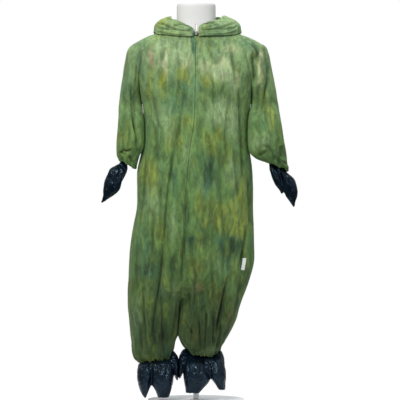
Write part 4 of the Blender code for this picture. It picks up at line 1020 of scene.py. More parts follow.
# Slack folds of the shiny cloth, in mm: where each starts, turns and ends as seen from the front, its
# depth and its half width.
CLAW_FOLDS = (
    (-152, 108, -150, 92, -154, 74, 2.2, 4), (-138, 110, -140, 90, -136, 70, 2.4, 4),
    (-118, 112, -112, 94, -116, 72, 2.6, 5), (-100, 114, -96, 98, -102, 80, 2.2, 4),
    (-84, 112, -82, 92, -88, 66, 2.6, 5), (-110, 70, -104, 58, -92, 52, 2.0, 4),
    (-150, 66, -144, 54, -146, 36, 1.8, 3.5), (-60, 100, -56, 88, -58, 76, 1.6, 3),
    (-126, 104, -125, 78, -125, 52, 2.6, 3), (-90, 52, -88, 40, -92, 28, 1.6, 3.5),
    (-8, 118, -10, 100, -4, 82, 2.6, 5), (8, 118, 12, 98, 6, 78, 2.4, 5),
    (-24, 110, -22, 92, -26, 74, 2.0, 4), (26, 120, 36, 100, 40, 70, 2.6, 3),
    (44, 118, 50, 100, 46, 86, 2.4, 5), (62, 118, 66, 100, 60, 80, 2.6, 5),
    (74, 108, 72, 90, 76, 70, 1.8, 4), (-14, 74, -8, 58, -12, 42, 2.0, 4),
    (70, 74, 66, 62, 72, 48, 1.8, 4), (-42, 116, -40, 100, -44, 84, 1.6, 3),
    (-208, 655, -214, 640, -224, 628, 2.0, 4), (-224, 652, -232, 630, -236, 606, 2.2, 4),
    (-236, 640, -246, 614, -250, 590, 2.0, 4), (-214, 640, -222, 616, -226, 598, 2.0, 3.5),
    (214, 655, 222, 640, 226, 620, 2.2, 4), (230, 655, 236, 634, 240, 612, 2.2, 4),
    (246, 648, 254, 626, 262, 604, 2.2, 4), (258, 634, 268, 612, 270, 586, 2.0, 4),
)


def joined(name, parts):
    """The claws of one foot or hand, drawn as the one padded body that their sewn edges make."""
    points, faces = [], []
    for sections in [PADS[part] for part in parts] + list(UPPER_FOOT.get(name, ())):
        rows = section_rows(sections, CLAW_BY, 3)
        grid = section_points(rows, CLAW_SIDES, 0.85)
        middle = grid.mean(axis=1, keepdims=True)
        size = np.linalg.norm(grid - middle, axis=2, keepdims=True)
        grid = middle + (grid - middle) * (1 + FILLED * smooth(0, 9 * MM, size) / np.maximum(size, MM))
        own, own_faces = capped(grid)
        faces += [tuple(len(points) + k for k in face) for face in own_faces]
        points += [tuple(point) for point in own]
    mesh = bpy.data.meshes.new(name)
    mesh.from_pydata(points, [], faces)
    item = placed(f"{name}_wadding", mesh)
    skin = item.modifiers.new("skin", "REMESH")
    skin.mode, skin.voxel_size, skin.use_smooth_shade = "VOXEL", CLAW_GRAIN, True
    even = item.modifiers.new("even", "SMOOTH")
    even.factor, even.iterations = 0.6, 6
    bpy.context.view_layer.update()
    made = bpy.data.meshes.new_from_object(item.evaluated_get(bpy.context.evaluated_depsgraph_get()))
    bpy.data.objects.remove(item)
    bpy.data.meshes.remove(mesh)
    return made


def read_points(mesh):
    points, normals = np.empty(len(mesh.vertices) * 3), np.empty(len(mesh.vertices) * 3)
    mesh.vertices.foreach_get("co", points)
    mesh.vertices.foreach_get("normal", normals)
    return points.reshape(-1, 3), normals.reshape(-1, 3)


def claws(name, parts, material):
    """Padded claws: gathered into their hem, slack folds and fine crinkles over the wadding."""
    mesh = joined(name, parts)
    points, normals = read_points(mesh)
    rows = np.array([PADS[part][2][:5] for part in parts], float)
    mouth = np.interp(points[:, 0] / MM, np.sort((rows[:, 1] + rows[:, 2]) / 2),
                      rows[np.argsort((rows[:, 1] + rows[:, 2]) / 2), 0]) * MM
    below = np.clip(mouth - points[:, 2], -6 * MM, None)
    seed = 1.7 * sum(map(ord, name)) % 11
    middle = points.mean(axis=0)
    around = np.arctan2(points[:, 1] - middle[1], points[:, 0] - middle[0]) / (2 * math.pi)
    kind = "foot" if "foot" in name else "hand"
    gathered = gather_wave(around, CLAW_GATHERS[kind], seed)
    relief = -CLAW_GATHER * gathered * np.exp(-np.abs(below) / CLAW_GATHER_REACH)
    relief -= CLAW_SLACK * uneven(points, 0.018, 1.5, seed)
    ridge = 1 - np.abs(uneven(points, 0.015, 1.6, seed + 3)) * 2.2
    relief += CLAW_RIDGE[kind] * np.clip(ridge, 0, 1) ** 3
    sway = CLAW_SWAY * np.sin(points[:, 1] / CLAW_SWAY_WAVE)
    relief += pressed_in(points[:, 0] + sway, points[:, 2], CLAW_FOLDS) * CLAW_FOLD
    moved = points - relief[:, None] * normals
    mesh.vertices.foreach_set("co", moved.ravel())
    mesh.materials.append(material)
    mesh.update()
    mesh.shade_smooth()
    item = placed(f"{name}_pad", mesh)
    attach(item, BODY)
    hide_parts(*parts)
    return item


def panel_point(grid, normal, x, z):
    """The point of a panel, and its normal, that is nearest to x and z as seen from the front."""
    off = np.abs(grid[:, :, 0] - x) + np.abs(grid[:, :, 2] - z)
    i, j = np.unravel_index(off.argmin(), off.shape)
    return grid[i, j], normal[i, j]


def side_label(grids, normals, material, thread):
    """The blank ribbon label, caught in the side's fold, with its end sewn down."""
    grid, normal = grids["front_left"], normals["front_left"]
    rows, facing = [], []
    for t in np.linspace(0, 1, 15):
        x = LABEL_TOP[0] + t * (LABEL_BOTTOM[0] - LABEL_TOP[0])
        z = LABEL_TOP[1] + t * (LABEL_BOTTOM[1] - LABEL_TOP[1])
        point, turn = panel_point(grid, normal, x, z)
        turn = unit(turn + np.array([0, -0.6, 0]))
        side = unit(np.cross(turn, (0, 0, 1)))
        lift = (2.0 + 2.6 * t + 0.8 * math.sin(3.3 * t)) * MM
        middle = point + turn * lift
        rows.append([middle + side * across * LABEL_WIDTH for across in np.linspace(-0.5, 0.5, 7)])
        facing.append([turn] * 7)
    strip, facing = np.array(rows), np.array(facing)
    item = cloth("label_ribbon", strip, facing, material, 0.7 * MM, slot="label_white")
    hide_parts("side_label")
    points, faces = [], []
    for across in np.linspace(-0.36, 0.36, 5):
        middle = strip[2, 3] + (strip[2, 6] - strip[2, 0]) * across + facing[2, 3] * 0.25 * MM
        side, up = unit(strip[2, 6] - strip[2, 0]), unit(strip[3, 3] - strip[1, 3])
        first = len(points)
        for a, b, c in ((-1, -1, 0), (1, -1, 0), (1, 1, 0), (-1, 1, 0), (0, 0, 1)):
            points.append(tuple(middle + side * a * STITCH_SIZE[0] + up * b * STITCH_SIZE[1]
                                + facing[2, 3] * c * STITCH_SIZE[2]))
        faces += [(first, first + 1, first + 4), (first + 1, first + 2, first + 4),
                  (first + 2, first + 3, first + 4), (first + 3, first, first + 4)]
    stitches = piece("label_stitches", points, faces, thread, "label_white")


def block(points, faces, low, high, taper=1.0):
    """Adds a box to the lists, its top narrower by the taper."""
    first = len(points)
    for z in (low[2], high[2]):
        by = taper if z == high[2] else 1.0
        middle = (low[0] + high[0]) / 2
        for x, y in ((low[0], low[1]), (high[0], low[1]), (high[0], high[1]), (low[0], high[1])):
            points.append((middle + (x - middle) * by, y, z))
    for quad in ((0, 3, 2, 1), (4, 5, 6, 7), (0, 1, 5, 4), (1, 2, 6, 5), (2, 3, 7, 6), (3, 0, 4, 7)):
        faces.append(tuple(first + k for k in quad))


def zip_slider(metal):
    """The slider's shield with its rim, and the bridge's two lugs that hold the tab."""
    rows = between(np.array(SLIDER, float)[:, None, :].repeat(2, axis=1), 6, 1)[:, 0]
    points, faces = capped(section_points(rows, SLIDER_SIDES, SLIDER_SQUARE))
    points = [tuple(p) for p in points]
    for side_of in (-1, 1):
        near = side_of * (TAB_WIDTH / 2 + SEAT)
        far = near + side_of * LUG_WIDTH
        low = (min(near, far), TAB_HINGE[1] - LUG_REACH / 2, TAB_HINGE[2] - LUG_TALL / 2)
        high = (max(near, far), LUG_ROOT, TAB_HINGE[2] + LUG_TALL / 2)
        block(points, faces, low, high)
    x = 3.6 * MM
    block(points, faces, (-x, -78.0 * MM, 1024.2 * MM), (x, -75 * MM, 1026.2 * MM), 0.96)
    item = piece("slider_body", points, faces, metal, "zip_metal")
    item.data.set_sharp_from_angle(angle=math.radians(40))
    bevel = item.modifiers.new("edges", "BEVEL")
    bevel.width, bevel.segments, bevel.angle_limit = 0.3 * MM, 3, math.radians(50)
    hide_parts("zip_slider")
    return item


def pull_tab(metal):
    """The pull tab, stood up and leant back: a long plate with a raised rim round its hollow face."""
    sides = 48
    half = TAB_WIDTH / 2
    bottom, top = -TAB_THICK, TAB_LONG - half
    rings = ((1.0, -0.42), (1.0, 0.42), (0.93, 0.5), (0.74, 0.5), (0.66, 0.22), (0.3, 0.22))
    grids = []
    for scale, up in [(s, -u) for s, u in reversed(rings)] + list(rings):
        ring = []
        for k in range(sides):
            angle = 2 * math.pi * k / sides
            c, s = math.cos(angle), math.sin(angle)
            middle = top if s > 0 else bottom + TAB_THICK * 1.2
            reach_z = half if s > 0 else TAB_THICK * 1.4
            inset = (1 - scale) * half
            ring.append((c * (half - inset), up * TAB_THICK, middle + s * (reach_z - inset * 0.9)))
        grids.append(ring)
    points, faces = capped(np.array(grids))
    c, s = math.cos(TAB_LEAN), math.sin(TAB_LEAN)
    lean = np.array([[1, 0, 0], [0, c, s], [0, -s, c]])
    points = points @ lean.T + np.array(TAB_HINGE)
    item = piece("tab_plate", points, faces, metal, "zip_metal", body="zip_pull")
    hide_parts("pull_tab")
    pin_points, pin_faces = capped(np.array([[
        (x, TAB_HINGE[1] + 0.45 * MM * math.cos(a), TAB_HINGE[2] + 0.45 * MM * math.sin(a))
        for a in np.arange(12) * math.pi / 6] for x in np.array((-3.6, 3.6)) * MM]))
    piece("tab_pin", pin_points, pin_faces, metal, "zip_metal")
    return item


def stand(form_shell, paint):
    """The moulded form, whole and smooth, on its pole and round plate."""
    torso = body_of_sections("form_shell", FORM, 128, 0.9, form_shell, "form_white", 4, 8)
    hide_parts("form_torso")
    r, top = PLATE_RADIUS / MM, PLATE_THICK / MM
    edge = [(top, 3), (top, 3.02), (top - 0.12, 2.2), (top - 0.5, 1.2), (top - 1.2, 0.5), (top - 2.2, 0.12),
            (top - 3.2, 0), (1.2, 0), (0.4, 0.3), (0, 1.0), (0, 1.02)]
    rings = [(z, -r + w, r - w, -r + w, r - w, 0) for z, w in edge]
    grid = section_points(np.array(rings), 160, 1.0)
    points, faces = capped(grid)
    plate = piece("plate_disc", points, faces, paint, "stand_white")
    plate.data.shade_flat()
    plate.data.polygons.foreach_set("use_smooth", [len(f) == 4 for f in faces])
    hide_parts("stand_plate")
    r, low, high = POLE_RADIUS / MM, (PLATE_THICK + SEAT) / MM, FORM[-1][0] - SEAT / MM
    rings = [(z, -r, r, -r, r, 0) for z in np.linspace(high, low, 12)]
    grid = section_points(np.array(rings), 48, 1.0)
    points, faces = capped(grid)
    pole = piece("pole_tube", points, faces, paint, "stand_white")
    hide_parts("stand_pole")


class Value:
    """An output of a material's nodes that works like a number."""

    def __init__(self, finish, socket):
        self.finish, self.socket = finish, socket

    def work(self, operation, *values):
        made = self.finish.node("Math", {"operation": operation}, *values)
        return Value(self.finish, made.outputs[0])

    def __add__(self, other):
        return self.work("ADD", self, other)

    def __radd__(self, other):
        return self.work("ADD", other, self)

    def __rsub__(self, other):
        return self.work("SUBTRACT", other, self)

    def __mul__(self, other):
        return self.work("MULTIPLY", self, other)

    def __rmul__(self, other):
        return self.work("MULTIPLY", other, self)


class Finish:
    """One material. Numbers that are the same all over are set on its shader directly."""

    def __init__(self, name, **same):
        self.material = bpy.data.materials.new(name)
        self.material.use_nodes = True
        self.tree = self.material.node_tree
        self.shader = self.tree.nodes["Principled BSDF"]
        for key, value in same.items():
            self.shader.inputs[key.replace("_", " ")].default_value = value
        coordinates = self.node("TexCoord")
        self.place = Value(self, coordinates.outputs["Object"])

    def node(self, kind, settings=None, *values, **links):
        made = self.tree.nodes.new("ShaderNode" + kind)
        for key, value in (settings or {}).items():
            setattr(made, key, value)
        for key, value in list(enumerate(values)) + [(k.replace("_", " "), v) for k, v in links.items()]:
            self.put(value, made.inputs[key])
        return made

    def put(self, value, socket):
        if isinstance(value, Value):
            self.tree.links.new(value.socket, socket)
        else:
            socket.default_value = value

    def scaled(self, across, up, place=None):
        """The place measured in patches this wide across and this tall, in metres."""
        made = self.node("VectorMath", {"operation": "MULTIPLY"}, place or self.place,
                         (1 / across, 1 / across, 1 / up))
        return Value(self, made.outputs[0])

    def cloudy(self, across, up, detail=2.0, rough=0.5, bent=0.0, shift=0.0, place=None):
        """Cloudy values from 0 to 1, this wide and tall in metres."""
        made = self.node("TexNoise", {"noise_dimensions": "4D"}, Vector=self.scaled(across, up, place),
                         W=shift, Scale=1.0, Detail=detail, Roughness=rough, Distortion=bent)
        return Value(self, made.outputs[0])

    def part(self, value, low, high):
        """0 below low and 1 above high, smoothly."""
        made = self.node("MapRange", {"interpolation_type": "SMOOTHSTEP"}, value, low, high)
        return Value(self, made.outputs[0])

    def mixed(self, factor, one, two, how="MIX"):
        made = self.node("Mix", {"data_type": "RGBA", "blend_type": how})
        self.put(factor, made.inputs[0])
        self.put(one, made.inputs[6])
        self.put(two, made.inputs[7])
        return Value(self, made.outputs[2])

    def raised(self, height, depth, under=None):
        """A bump whose full height is the depth, in metres, over the one under it."""
        made = self.node("Bump", None, Distance=depth, Height=height, Strength=1.0)
        if under:
            self.put(under, made.inputs["Normal"])
        return Value(self, made.outputs[0])

    def set(self, **links):
        for key, value in links.items():
            self.put(value, self.shader.inputs[key.replace("_", " ")])
        return self.material


# How far the dye patches wander, across, in depth and up, in metres
DYE_WANDER = (0.035, 0, 0.06)

# The dye's colours
SAGE = (0.330, 0.470, 0.240, 1)
BRIGHT = (0.460, 0.620, 0.330, 1)
FRESH = (0.155, 0.290, 0.094, 1)
PALE = (0.270, 0.410, 0.185, 1)
MOSS = (0.095, 0.180, 0.054, 1)
DEEP = (0.034, 0.068, 0.023, 1)
DARK = (0.022, 0.052, 0.024, 1)
YELLOW_GREEN = (0.300, 0.370, 0.070, 1)
OLIVE = (0.135, 0.140, 0.026, 1)
TEAL = (0.085, 0.215, 0.125, 1)
CREAM = (0.66, 0.68, 0.38, 1)
PINK_CREAM = (0.42, 0.35, 0.22, 1)

# Patches of dye, in mm: the middle across and up, half width and half height, then the dye and how strongly
# it took. A few patches are painted shade and painted highlights, noted above their lines.
FRONT_DYE_AND_PAINTED_LIGHT = (
    (-112, 965, 42, 45, SAGE, 0.7), (-70, 975, 60, 40, SAGE, 0.8), (-30, 985, 30, 60, SAGE, 0.7),
    (-124, 957, 6.5, 36, PINK_CREAM, 1.0), (-126, 890, 9, 48, YELLOW_GREEN, 0.75),
    (-86, 948, 6, 44, CREAM, 0.95), (-92, 885, 9, 45, YELLOW_GREEN, 0.7), (-26, 942, 12, 26, CREAM, 0.5),
    (-42, 900, 26, 34, YELLOW_GREEN, 0.5), (-58, 868, 38, 26, FRESH, 0.7), (-44, 880, 26, 16, TEAL, 0.7),
    (-4, 1000, 10, 44, TEAL, 0.85), (12, 900, 12, 44, TEAL, 0.5), (66, 950, 52, 26, SAGE, 0.5),
    (36, 930, 26, 17, CREAM, 0.55), (74, 926, 26, 24, CREAM, 0.6), (66, 908, 22, 15, PINK_CREAM, 0.5),
    (28, 900, 18, 18, YELLOW_GREEN, 0.9), (104, 890, 14, 40, SAGE, 0.7), (112, 905, 10, 24, CREAM, 0.45),
    # (164, 968) is painted shade in the hollow beside the sleeve's raised fold; (176, 925) is a painted
    # highlight along that fold's ridge.
    (100, 980, 26, 16, CREAM, 0.4), (164, 968, 13, 24, DARK, 0.55), (176, 925, 6, 52, CREAM, 0.8),
    # (30, 139) and (-108, 121) are painted highlights on the gathers of the ankle hems.
    (40, 225, 70, 100, DEEP, 0.6), (-100, 250, 70, 90, DEEP, 0.25), (30, 139, 44, 12, SAGE, 0.35),
    (-108, 121, 40, 10, YELLOW_GREEN, 0.45), (-60, 600, 14, 70, TEAL, 0.5),
    (10, 560, 14, 60, YELLOW_GREEN, 0.5), (70, 600, 20, 60, FRESH, 0.6),
    (130, 600, 14, 60, YELLOW_GREEN, 0.5), (-100, 480, 18, 50, YELLOW_GREEN, 0.4),
    (60, 395, 24, 40, YELLOW_GREEN, 0.4), (54, 868, 46, 30, MOSS, 0.6), (-106, 700, 12, 34, DARK, 0.4),
    (-58, 736, 12, 28, DARK, 0.45), (-40, 850, 24, 32, DARK, 0.3), (30, 640, 34, 60, TEAL, 0.5),
    (26, 650, 26, 50, DARK, 0.4), (-76, 770, 20, 50, SAGE, 0.4), (62, 740, 20, 26, YELLOW_GREEN, 0.7),
    (-22, 776, 20, 26, YELLOW_GREEN, 0.5), (-128, 640, 40, 46, YELLOW_GREEN, 0.6),
    (-112, 600, 26, 30, OLIVE, 0.5), (86, 690, 16, 40, YELLOW_GREEN, 0.4), (110, 760, 26, 60, SAGE, 0.5),
    (-90, 560, 44, 60, FRESH, 0.4), (110, 510, 56, 60, YELLOW_GREEN, 0.45), (40, 520, 30, 40, OLIVE, 0.4),
    (-134, 372, 40, 24, TEAL, 0.6), (-136, 374, 34, 20, DARK, 0.6), (-62, 384, 26, 26, DARK, 0.6),
    (-8, 444, 20, 26, TEAL, 0.5), (-10, 440, 16, 24, DARK, 0.5), (96, 448, 54, 22, TEAL, 0.65),
    (98, 446, 44, 18, DARK, 0.5), (-182, 328, 10, 26, OLIVE, 0.8), (8, 330, 16, 20, OLIVE, 0.5),
    (66, 300, 24, 26, OLIVE, 0.4), (28, 262, 26, 34, MOSS, 0.5), (-100, 190, 30, 34, DARK, 0.5),
    (-58, 176, 16, 34, YELLOW_GREEN, 0.35), (0, 190, 24, 20, OLIVE, 0.4),
    # (180, 940) is a painted highlight along the same ridge of the sleeve.
    (212, 790, 12, 44, YELLOW_GREEN, 0.55), (180, 940, 7, 50, CREAM, 0.5),
    (-206, 740, 20, 26, OLIVE, 0.45), (-190, 880, 16, 50, TEAL, 0.4), (176, 730, 34, 26, SAGE, 0.5),
    (150, 1000, 40, 22, TEAL, 0.45), (-100, 1062, 40, 14, YELLOW_GREEN, 0.75),
    (-60, 1060, 30, 16, SAGE, 0.4), (70, 1066, 46, 20, SAGE, 0.45), (107, 507, 7, 50, YELLOW_GREEN, 1.0),
    (130, 484, 7, 46, YELLOW_GREEN, 1.0), (61, 502, 6, 40, YELLOW_GREEN, 0.8),
    (22, 500, 6, 26, YELLOW_GREEN, 0.8), (112, 560, 20, 24, YELLOW_GREEN, 0.6),
    (72, 540, 20, 24, YELLOW_GREEN, 0.5), (24, 600, 30, 26, TEAL, 0.5), (-26, 540, 9, 50, DARK, 0.55),
    (-32, 440, 6, 30, DARK, 0.5), (-62, 400, 22, 30, DARK, 0.5), (-116, 398, 30, 30, DARK, 0.5),
    (14, 452, 34, 18, DARK, 0.45), (94, 424, 40, 34, DARK, 0.6), (70, 390, 50, 36, TEAL, 0.4),
    (142, 352, 16, 52, DARK, 0.7), (4, 322, 14, 14, PINK_CREAM, 0.3),
    (-30, 236, 8, 22, YELLOW_GREEN, 0.5), (-120, 560, 30, 50, SAGE, 0.35), (-62, 500, 14, 60, SAGE, 0.3),
    (-150, 450, 22, 60, TEAL, 0.4), (-60, 300, 12, 60, SAGE, 0.3), (-160, 250, 12, 60, SAGE, 0.3),
    (100, 250, 20, 40, OLIVE, 0.5), (0, 380, 30, 30, OLIVE, 0.35), (60, 660, 24, 50, DARK, 0.35),
    (104, 640, 26, 50, SAGE, 0.4), (-96, 640, 12, 60, TEAL, 0.5), (-24, 690, 18, 50, SAGE, 0.3),
    (-100, 800, 24, 40, SAGE, 0.35), (66, 918, 44, 24, BRIGHT, 0.75), (-72, 960, 48, 30, BRIGHT, 0.5),
    (74, 806, 52, 46, BRIGHT, 0.5), (34, 270, 46, 60, DARK, 0.4), (-150, 1010, 24, 30, TEAL, 0.35),
)
BACK_DYE = (
    (-60, 960, 50, 40, SAGE, 0.6), (50, 970, 44, 46, SAGE, 0.6), (-90, 900, 10, 56, CREAM, 0.5),
    (70, 890, 9, 50, YELLOW_GREEN, 0.7), (10, 880, 34, 26, TEAL, 0.5),
    (-30, 800, 22, 40, YELLOW_GREEN, 0.5), (96, 790, 30, 50, SAGE, 0.4), (-110, 740, 26, 60, FRESH, 0.5),
    (20, 690, 40, 50, DARK, 0.4), (-60, 620, 24, 60, YELLOW_GREEN, 0.5), (100, 600, 34, 40, OLIVE, 0.5),
    (-120, 520, 40, 30, TEAL, 0.5), (30, 520, 30, 50, FRESH, 0.4), (90, 440, 50, 26, DARK, 0.5),
    (-80, 400, 44, 28, DARK, 0.45), (-30, 330, 20, 40, OLIVE, 0.4), (-140, 300, 26, 40, MOSS, 0.5),
    (60, 280, 30, 40, YELLOW_GREEN, 0.3), (-90, 200, 34, 34, DARK, 0.4), (20, 190, 24, 30, OLIVE, 0.4),
    (-190, 860, 16, 50, YELLOW_GREEN, 0.4), (200, 840, 18, 46, SAGE, 0.5),
    (-60, 1010, 50, 30, YELLOW_GREEN, 0.5), (50, 1000, 40, 30, TEAL, 0.4),
)


def plush(name, shift=0.0):
    """Plush dyed in upright streaks and cloudy patches, with a short crinkled nap. Its creases get painted
    shade, and a few front patches are painted shade and painted highlights.
    """
    f = Finish(name, Roughness=0.92, Sheen_Weight=0.3, Sheen_Roughness=0.5,
               Sheen_Tint=(0.55, 0.72, 0.42, 1), Specular_IOR_Level=0.25)
    apart = f.node("SeparateXYZ", None, f.place)
    y, z = Value(f, apart.outputs[1]), Value(f, apart.outputs[2])
    colour = f.mixed(f.part(z, 0.30, 0.78), MOSS, FRESH)
    colour = f.mixed(f.part(z, 0.70, 1.02), colour, PALE)
    colour = f.mixed(f.part(f.cloudy(0.07, 0.11, 2, shift=1 + shift), 0.5, 0.72) * 0.55, colour, TEAL)
    colour = f.mixed(f.part(f.cloudy(0.06, 0.13, 2, shift=4 + shift), 0.54, 0.72) * 0.5, colour, YELLOW_GREEN)
    wander = f.node("TexNoise", {"noise_dimensions": "4D"}, Vector=f.scaled(0.03, 0.05), W=7.0 + shift,
                    Scale=1.0, Detail=3.0)
    centred = f.node("VectorMath", {"operation": "SUBTRACT"}, Value(f, wander.outputs["Color"]),
                     (0.5, 0.5, 0.5))
    moved = f.node("VectorMath", {"operation": "MULTIPLY_ADD"}, Value(f, centred.outputs[0]), DYE_WANDER,
                   f.place)
    bent = Value(f, moved.outputs[0])
    streak = f.cloudy(0.011, 0.052, 2, 0.6, 0.5, 2 + shift)
    took = 0.45 + 1.1 * f.part(streak, 0.3, 0.7)
    # The front's table holds painted shade and painted highlight patches besides the dye.
    for patch_table, low, high in ((FRONT_DYE_AND_PAINTED_LIGHT, 0.006, -0.006), (BACK_DYE, -0.006, 0.006)):
        here = f.part(y, low, high)
        for across, up, wide, tall, tint, strong in patch_table:
            off = f.node("VectorMath", {"operation": "SUBTRACT"}, bent, (across * MM, 0, up * MM))
            share = f.node("VectorMath", {"operation": "MULTIPLY"}, Value(f, off.outputs[0]),
                           (1 / (wide * MM), 0, 1 / (tall * MM)))
            away = f.node("VectorMath", {"operation": "LENGTH"}, Value(f, share.outputs[0]))
            inside = f.part(Value(f, away.outputs["Value"]), 1.35, 0.25)
            colour = f.mixed(inside * here * took * strong, colour, tint)
    broad = f.cloudy(0.016, 0.12, 2, 0.55, 0.3, 5 + shift)
    narrow = f.cloudy(0.005, 0.045, 2, 0.6, 0.6, 6 + shift)
    nap = f.cloudy(0.0045, 0.0028, 3, 0.7, 1.2, 8 + shift)
    grain = f.cloudy(0.0032, 0.010, 3, 0.7, 0.5, 10 + shift)
    blotch = f.part(f.cloudy(0.014, 0.034, 3, 0.6, 0.8, 11 + shift), 0.34, 0.66)
    fresh = f.part(f.cloudy(0.013, 0.05, 3, 0.6, 0.6, 12 + shift), 0.46, 0.76)
    colour = f.mixed(fresh * 0.4, colour, YELLOW_GREEN)
    low = 1 - 0.56 * f.part(z, 0.42, 0.15)
    # Painted shade in the creases: the colour is darkened by up to 0.72 where the stored crease depth is
    # full.
    creased = f.node("Attribute", {"attribute_name": "creased"})
    low = low * (1 - 0.72 * Value(f, creased.outputs["Fac"]))
    light = 0.02 + 0.42 * broad + 0.26 * narrow + 0.3 * nap + 0.42 * grain + 0.54 * blotch
    light = light * low
    shade = f.node("CombineColor", None, light, light, light)
    colour = f.mixed(1.0, colour, Value(f, shade.outputs[0]), "MULTIPLY")
    crinkle = f.cloudy(0.007, 0.0035, 2, 0.55, 1.5, 3 + shift)
    fuzz = f.cloudy(0.0011, 0.0011, 2, 0.6, 0.0, 9 + shift)
    bump = f.raised(fuzz, 0.45 * MM, f.raised(crinkle, 1.9 * MM, f.raised(grain, 1.2 * MM)))
    return f.set(Base_Color=colour, Roughness=0.86 + 0.12 * nap, Normal=bump)


def navy_vinyl():
    """Coated cloth with a wet shine: crinkled, a little worn in specks."""
    f = Finish("navy_vinyl", Coat_Weight=0.04, Coat_Roughness=0.10, Specular_IOR_Level=0.32,
               Specular_Tint=(0.50, 0.78, 1.0, 1))
    soft = f.cloudy(0.016, 0.024, 3, 0.5, 0.5, 1)
    fine = f.cloudy(0.0045, 0.006, 3, 0.6, 0.8, 2)
    colour = f.mixed(f.part(soft, 0.35, 0.7), (0.0016, 0.0034, 0.0075, 1), (0.003, 0.009, 0.019, 1))
    worn = f.part(f.cloudy(0.003, 0.003, 3, 0.7, 0.0, 4), 0.62, 0.78)
    colour = f.mixed(worn * 0.15, colour, (0.03, 0.05, 0.07, 1))
    weave = f.cloudy(0.0006, 0.0006, 1, 0.5, 0.0, 5)
    bump = f.raised(weave, 0.05 * MM, f.raised(fine, 0.7 * MM, f.raised(soft, 2.2 * MM)))
    return f.set(Base_Color=colour, Roughness=0.15 + 0.16 * fine + 0.12 * worn, Normal=bump)


def woven(name, tint, pale, step, shine=0.0):
    """A small plain weave in a tint, with paler thread tops."""
    f = Finish(name, Sheen_Weight=shine)
    wave = [Value(f, f.node("TexWave", {"bands_direction": way}, f.scaled(step, step), Scale=1.0,
                            Distortion=0.6, Detail=1.0).outputs[1]) for way in "XZ"]
    threads = wave[0] * wave[1]
    soil = f.cloudy(0.01, 0.02, 3, 0.6, 0.0, 3)
    colour = f.mixed(threads, tint, pale)
    colour = f.mixed(f.part(soil, 0.5, 0.8) * 0.3, colour, tuple(c * 0.6 for c in tint[:3]) + (1,))
    return f.set(Base_Color=colour, Roughness=0.75 + 0.2 * soil, Normal=f.raised(threads, 0.12 * MM))


def plated():
    """Plated zip metal, rubbed and a little dull, with a warm cast."""
    f = Finish("zip_plate", Metallic=1.0)
    rub = f.cloudy(0.002, 0.006, 4, 0.6, 0.3, 1)
    dull = f.cloudy(0.006, 0.006, 3, 0.6, 0.0, 2)
    colour = f.mixed(f.part(dull, 0.45, 0.75), (0.62, 0.58, 0.57, 1), (0.42, 0.36, 0.35, 1))
    return f.set(Base_Color=colour, Roughness=0.28 + 0.25 * rub, Normal=f.raised(rub, 0.05 * MM))


def zip_plastic():
    f = Finish("zip_plastic", Specular_IOR_Level=0.5)
    mark = f.cloudy(0.002, 0.002, 3, 0.6, 0.0, 1)
    colour = f.mixed(mark, (0.05, 0.11, 0.055, 1), (0.085, 0.16, 0.08, 1))
    return f.set(Base_Color=colour, Roughness=0.35 + 0.2 * mark, Normal=f.raised(mark, 0.05 * MM))


def form_shell():
    """The form's matt moulded shell: faint mould ripple, handling marks round the neck."""
    f = Finish("form_shell", Specular_IOR_Level=0.4)
    wide = f.cloudy(0.09, 0.12, 3, 0.5, 0.3, 1)
    fine = f.cloudy(0.0016, 0.0016, 3, 0.6, 0.0, 2)
    marks = f.part(f.cloudy(0.012, 0.03, 4, 0.7, 0.8, 3), 0.62, 0.8)
    colour = f.mixed(wide, (0.86, 0.85, 0.84, 1), (0.91, 0.90, 0.89, 1))
    colour = f.mixed(marks * 0.25, colour, (0.60, 0.58, 0.55, 1))
    return f.set(Base_Color=colour, Roughness=0.5 + 0.15 * fine + 0.1 * marks,
                 Normal=f.raised(fine, 0.06 * MM, f.raised(wide, 0.5 * MM)))


def stand_paint():
    """Satin paint on the pole and the plate, with scuffs."""
    f = Finish("stand_paint", Coat_Weight=0.15, Coat_Roughness=0.3)
    peel = f.cloudy(0.0025, 0.0025, 2, 0.5, 0.0, 1)
    scuff = f.part(f.cloudy(0.03, 0.004, 4, 0.7, 0.4, 2), 0.63, 0.75)
    colour = f.mixed(scuff * 0.3, (0.93, 0.93, 0.93, 1), (0.62, 0.62, 0.61, 1))
    return f.set(Base_Color=colour, Roughness=0.38 + 0.1 * peel + 0.2 * scuff,
                 Normal=f.raised(peel, 0.05 * MM))


def garment(materials):
    """All the cloth: panels, sleeves, hood, tapes, each a piece of its own."""
    grids, normals = garment_grids()
    for name, grid in grids.items():
        relief, creased = (sleeve_relief if name.startswith("sleeve") else panel_relief)(name, grid)
        grids[name] = grid - relief[:, :, None] * normals[name]
        if not name.startswith("sleeve"):
            grids[name] = risen_hem(name, grids[name])
        cloth(f"{name}_cloth", grids[name], normals[name], materials["plush"], creased=creased)
        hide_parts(name)
    hoods = {side: hood_piece(side, smooth_necks(grids), materials["plush"])[0] for side in ("right", "left")}
    tapes = {side: zip_tape(side, grids, normals, materials["tape"]) for side in ("right", "left")}
    teeth = zip_teeth([tapes[side][1] for side in ("right", "left")], materials["teeth"])
    side_label(grids, normals, materials["label"], materials["thread"])
    for side, (item, _) in tapes.items():
        "front_" + side
        [teeth] if side == "right" else []


# How far the ankle hem rises toward its ends beyond the cut, in mm: x, then the rise there.
HEM_DRAWN = 55 * MM  # the stretch of leg over which the rise runs out
HEM_RISE = {
    "right": ((-156, -2), (-110, -2), (-86, -4), (-71, -7)),
    "left": ((-14, -2), (30, -2), (44, 0), (54, 5), (62, 17)),
}


def risen_hem(name, grid):
    """The panel with its ankle hem drawn up or down at the ends, over the last stretch of the leg."""
    at, rise = zip(*HEM_RISE[name.split("_")[1]])
    from_hem = run_from(grid, 0)
    from_hem = from_hem[-1:] - from_hem
    lift = np.interp(grid[-1:, :, 0] / MM, at, rise) * MM
    grid[:, :, 2] += lift * (1 - smooth(0, HEM_DRAWN, from_hem))
    return grid


def smooth_necks(grids):
    return {name: grid[:1] for name, grid in grids.items()}


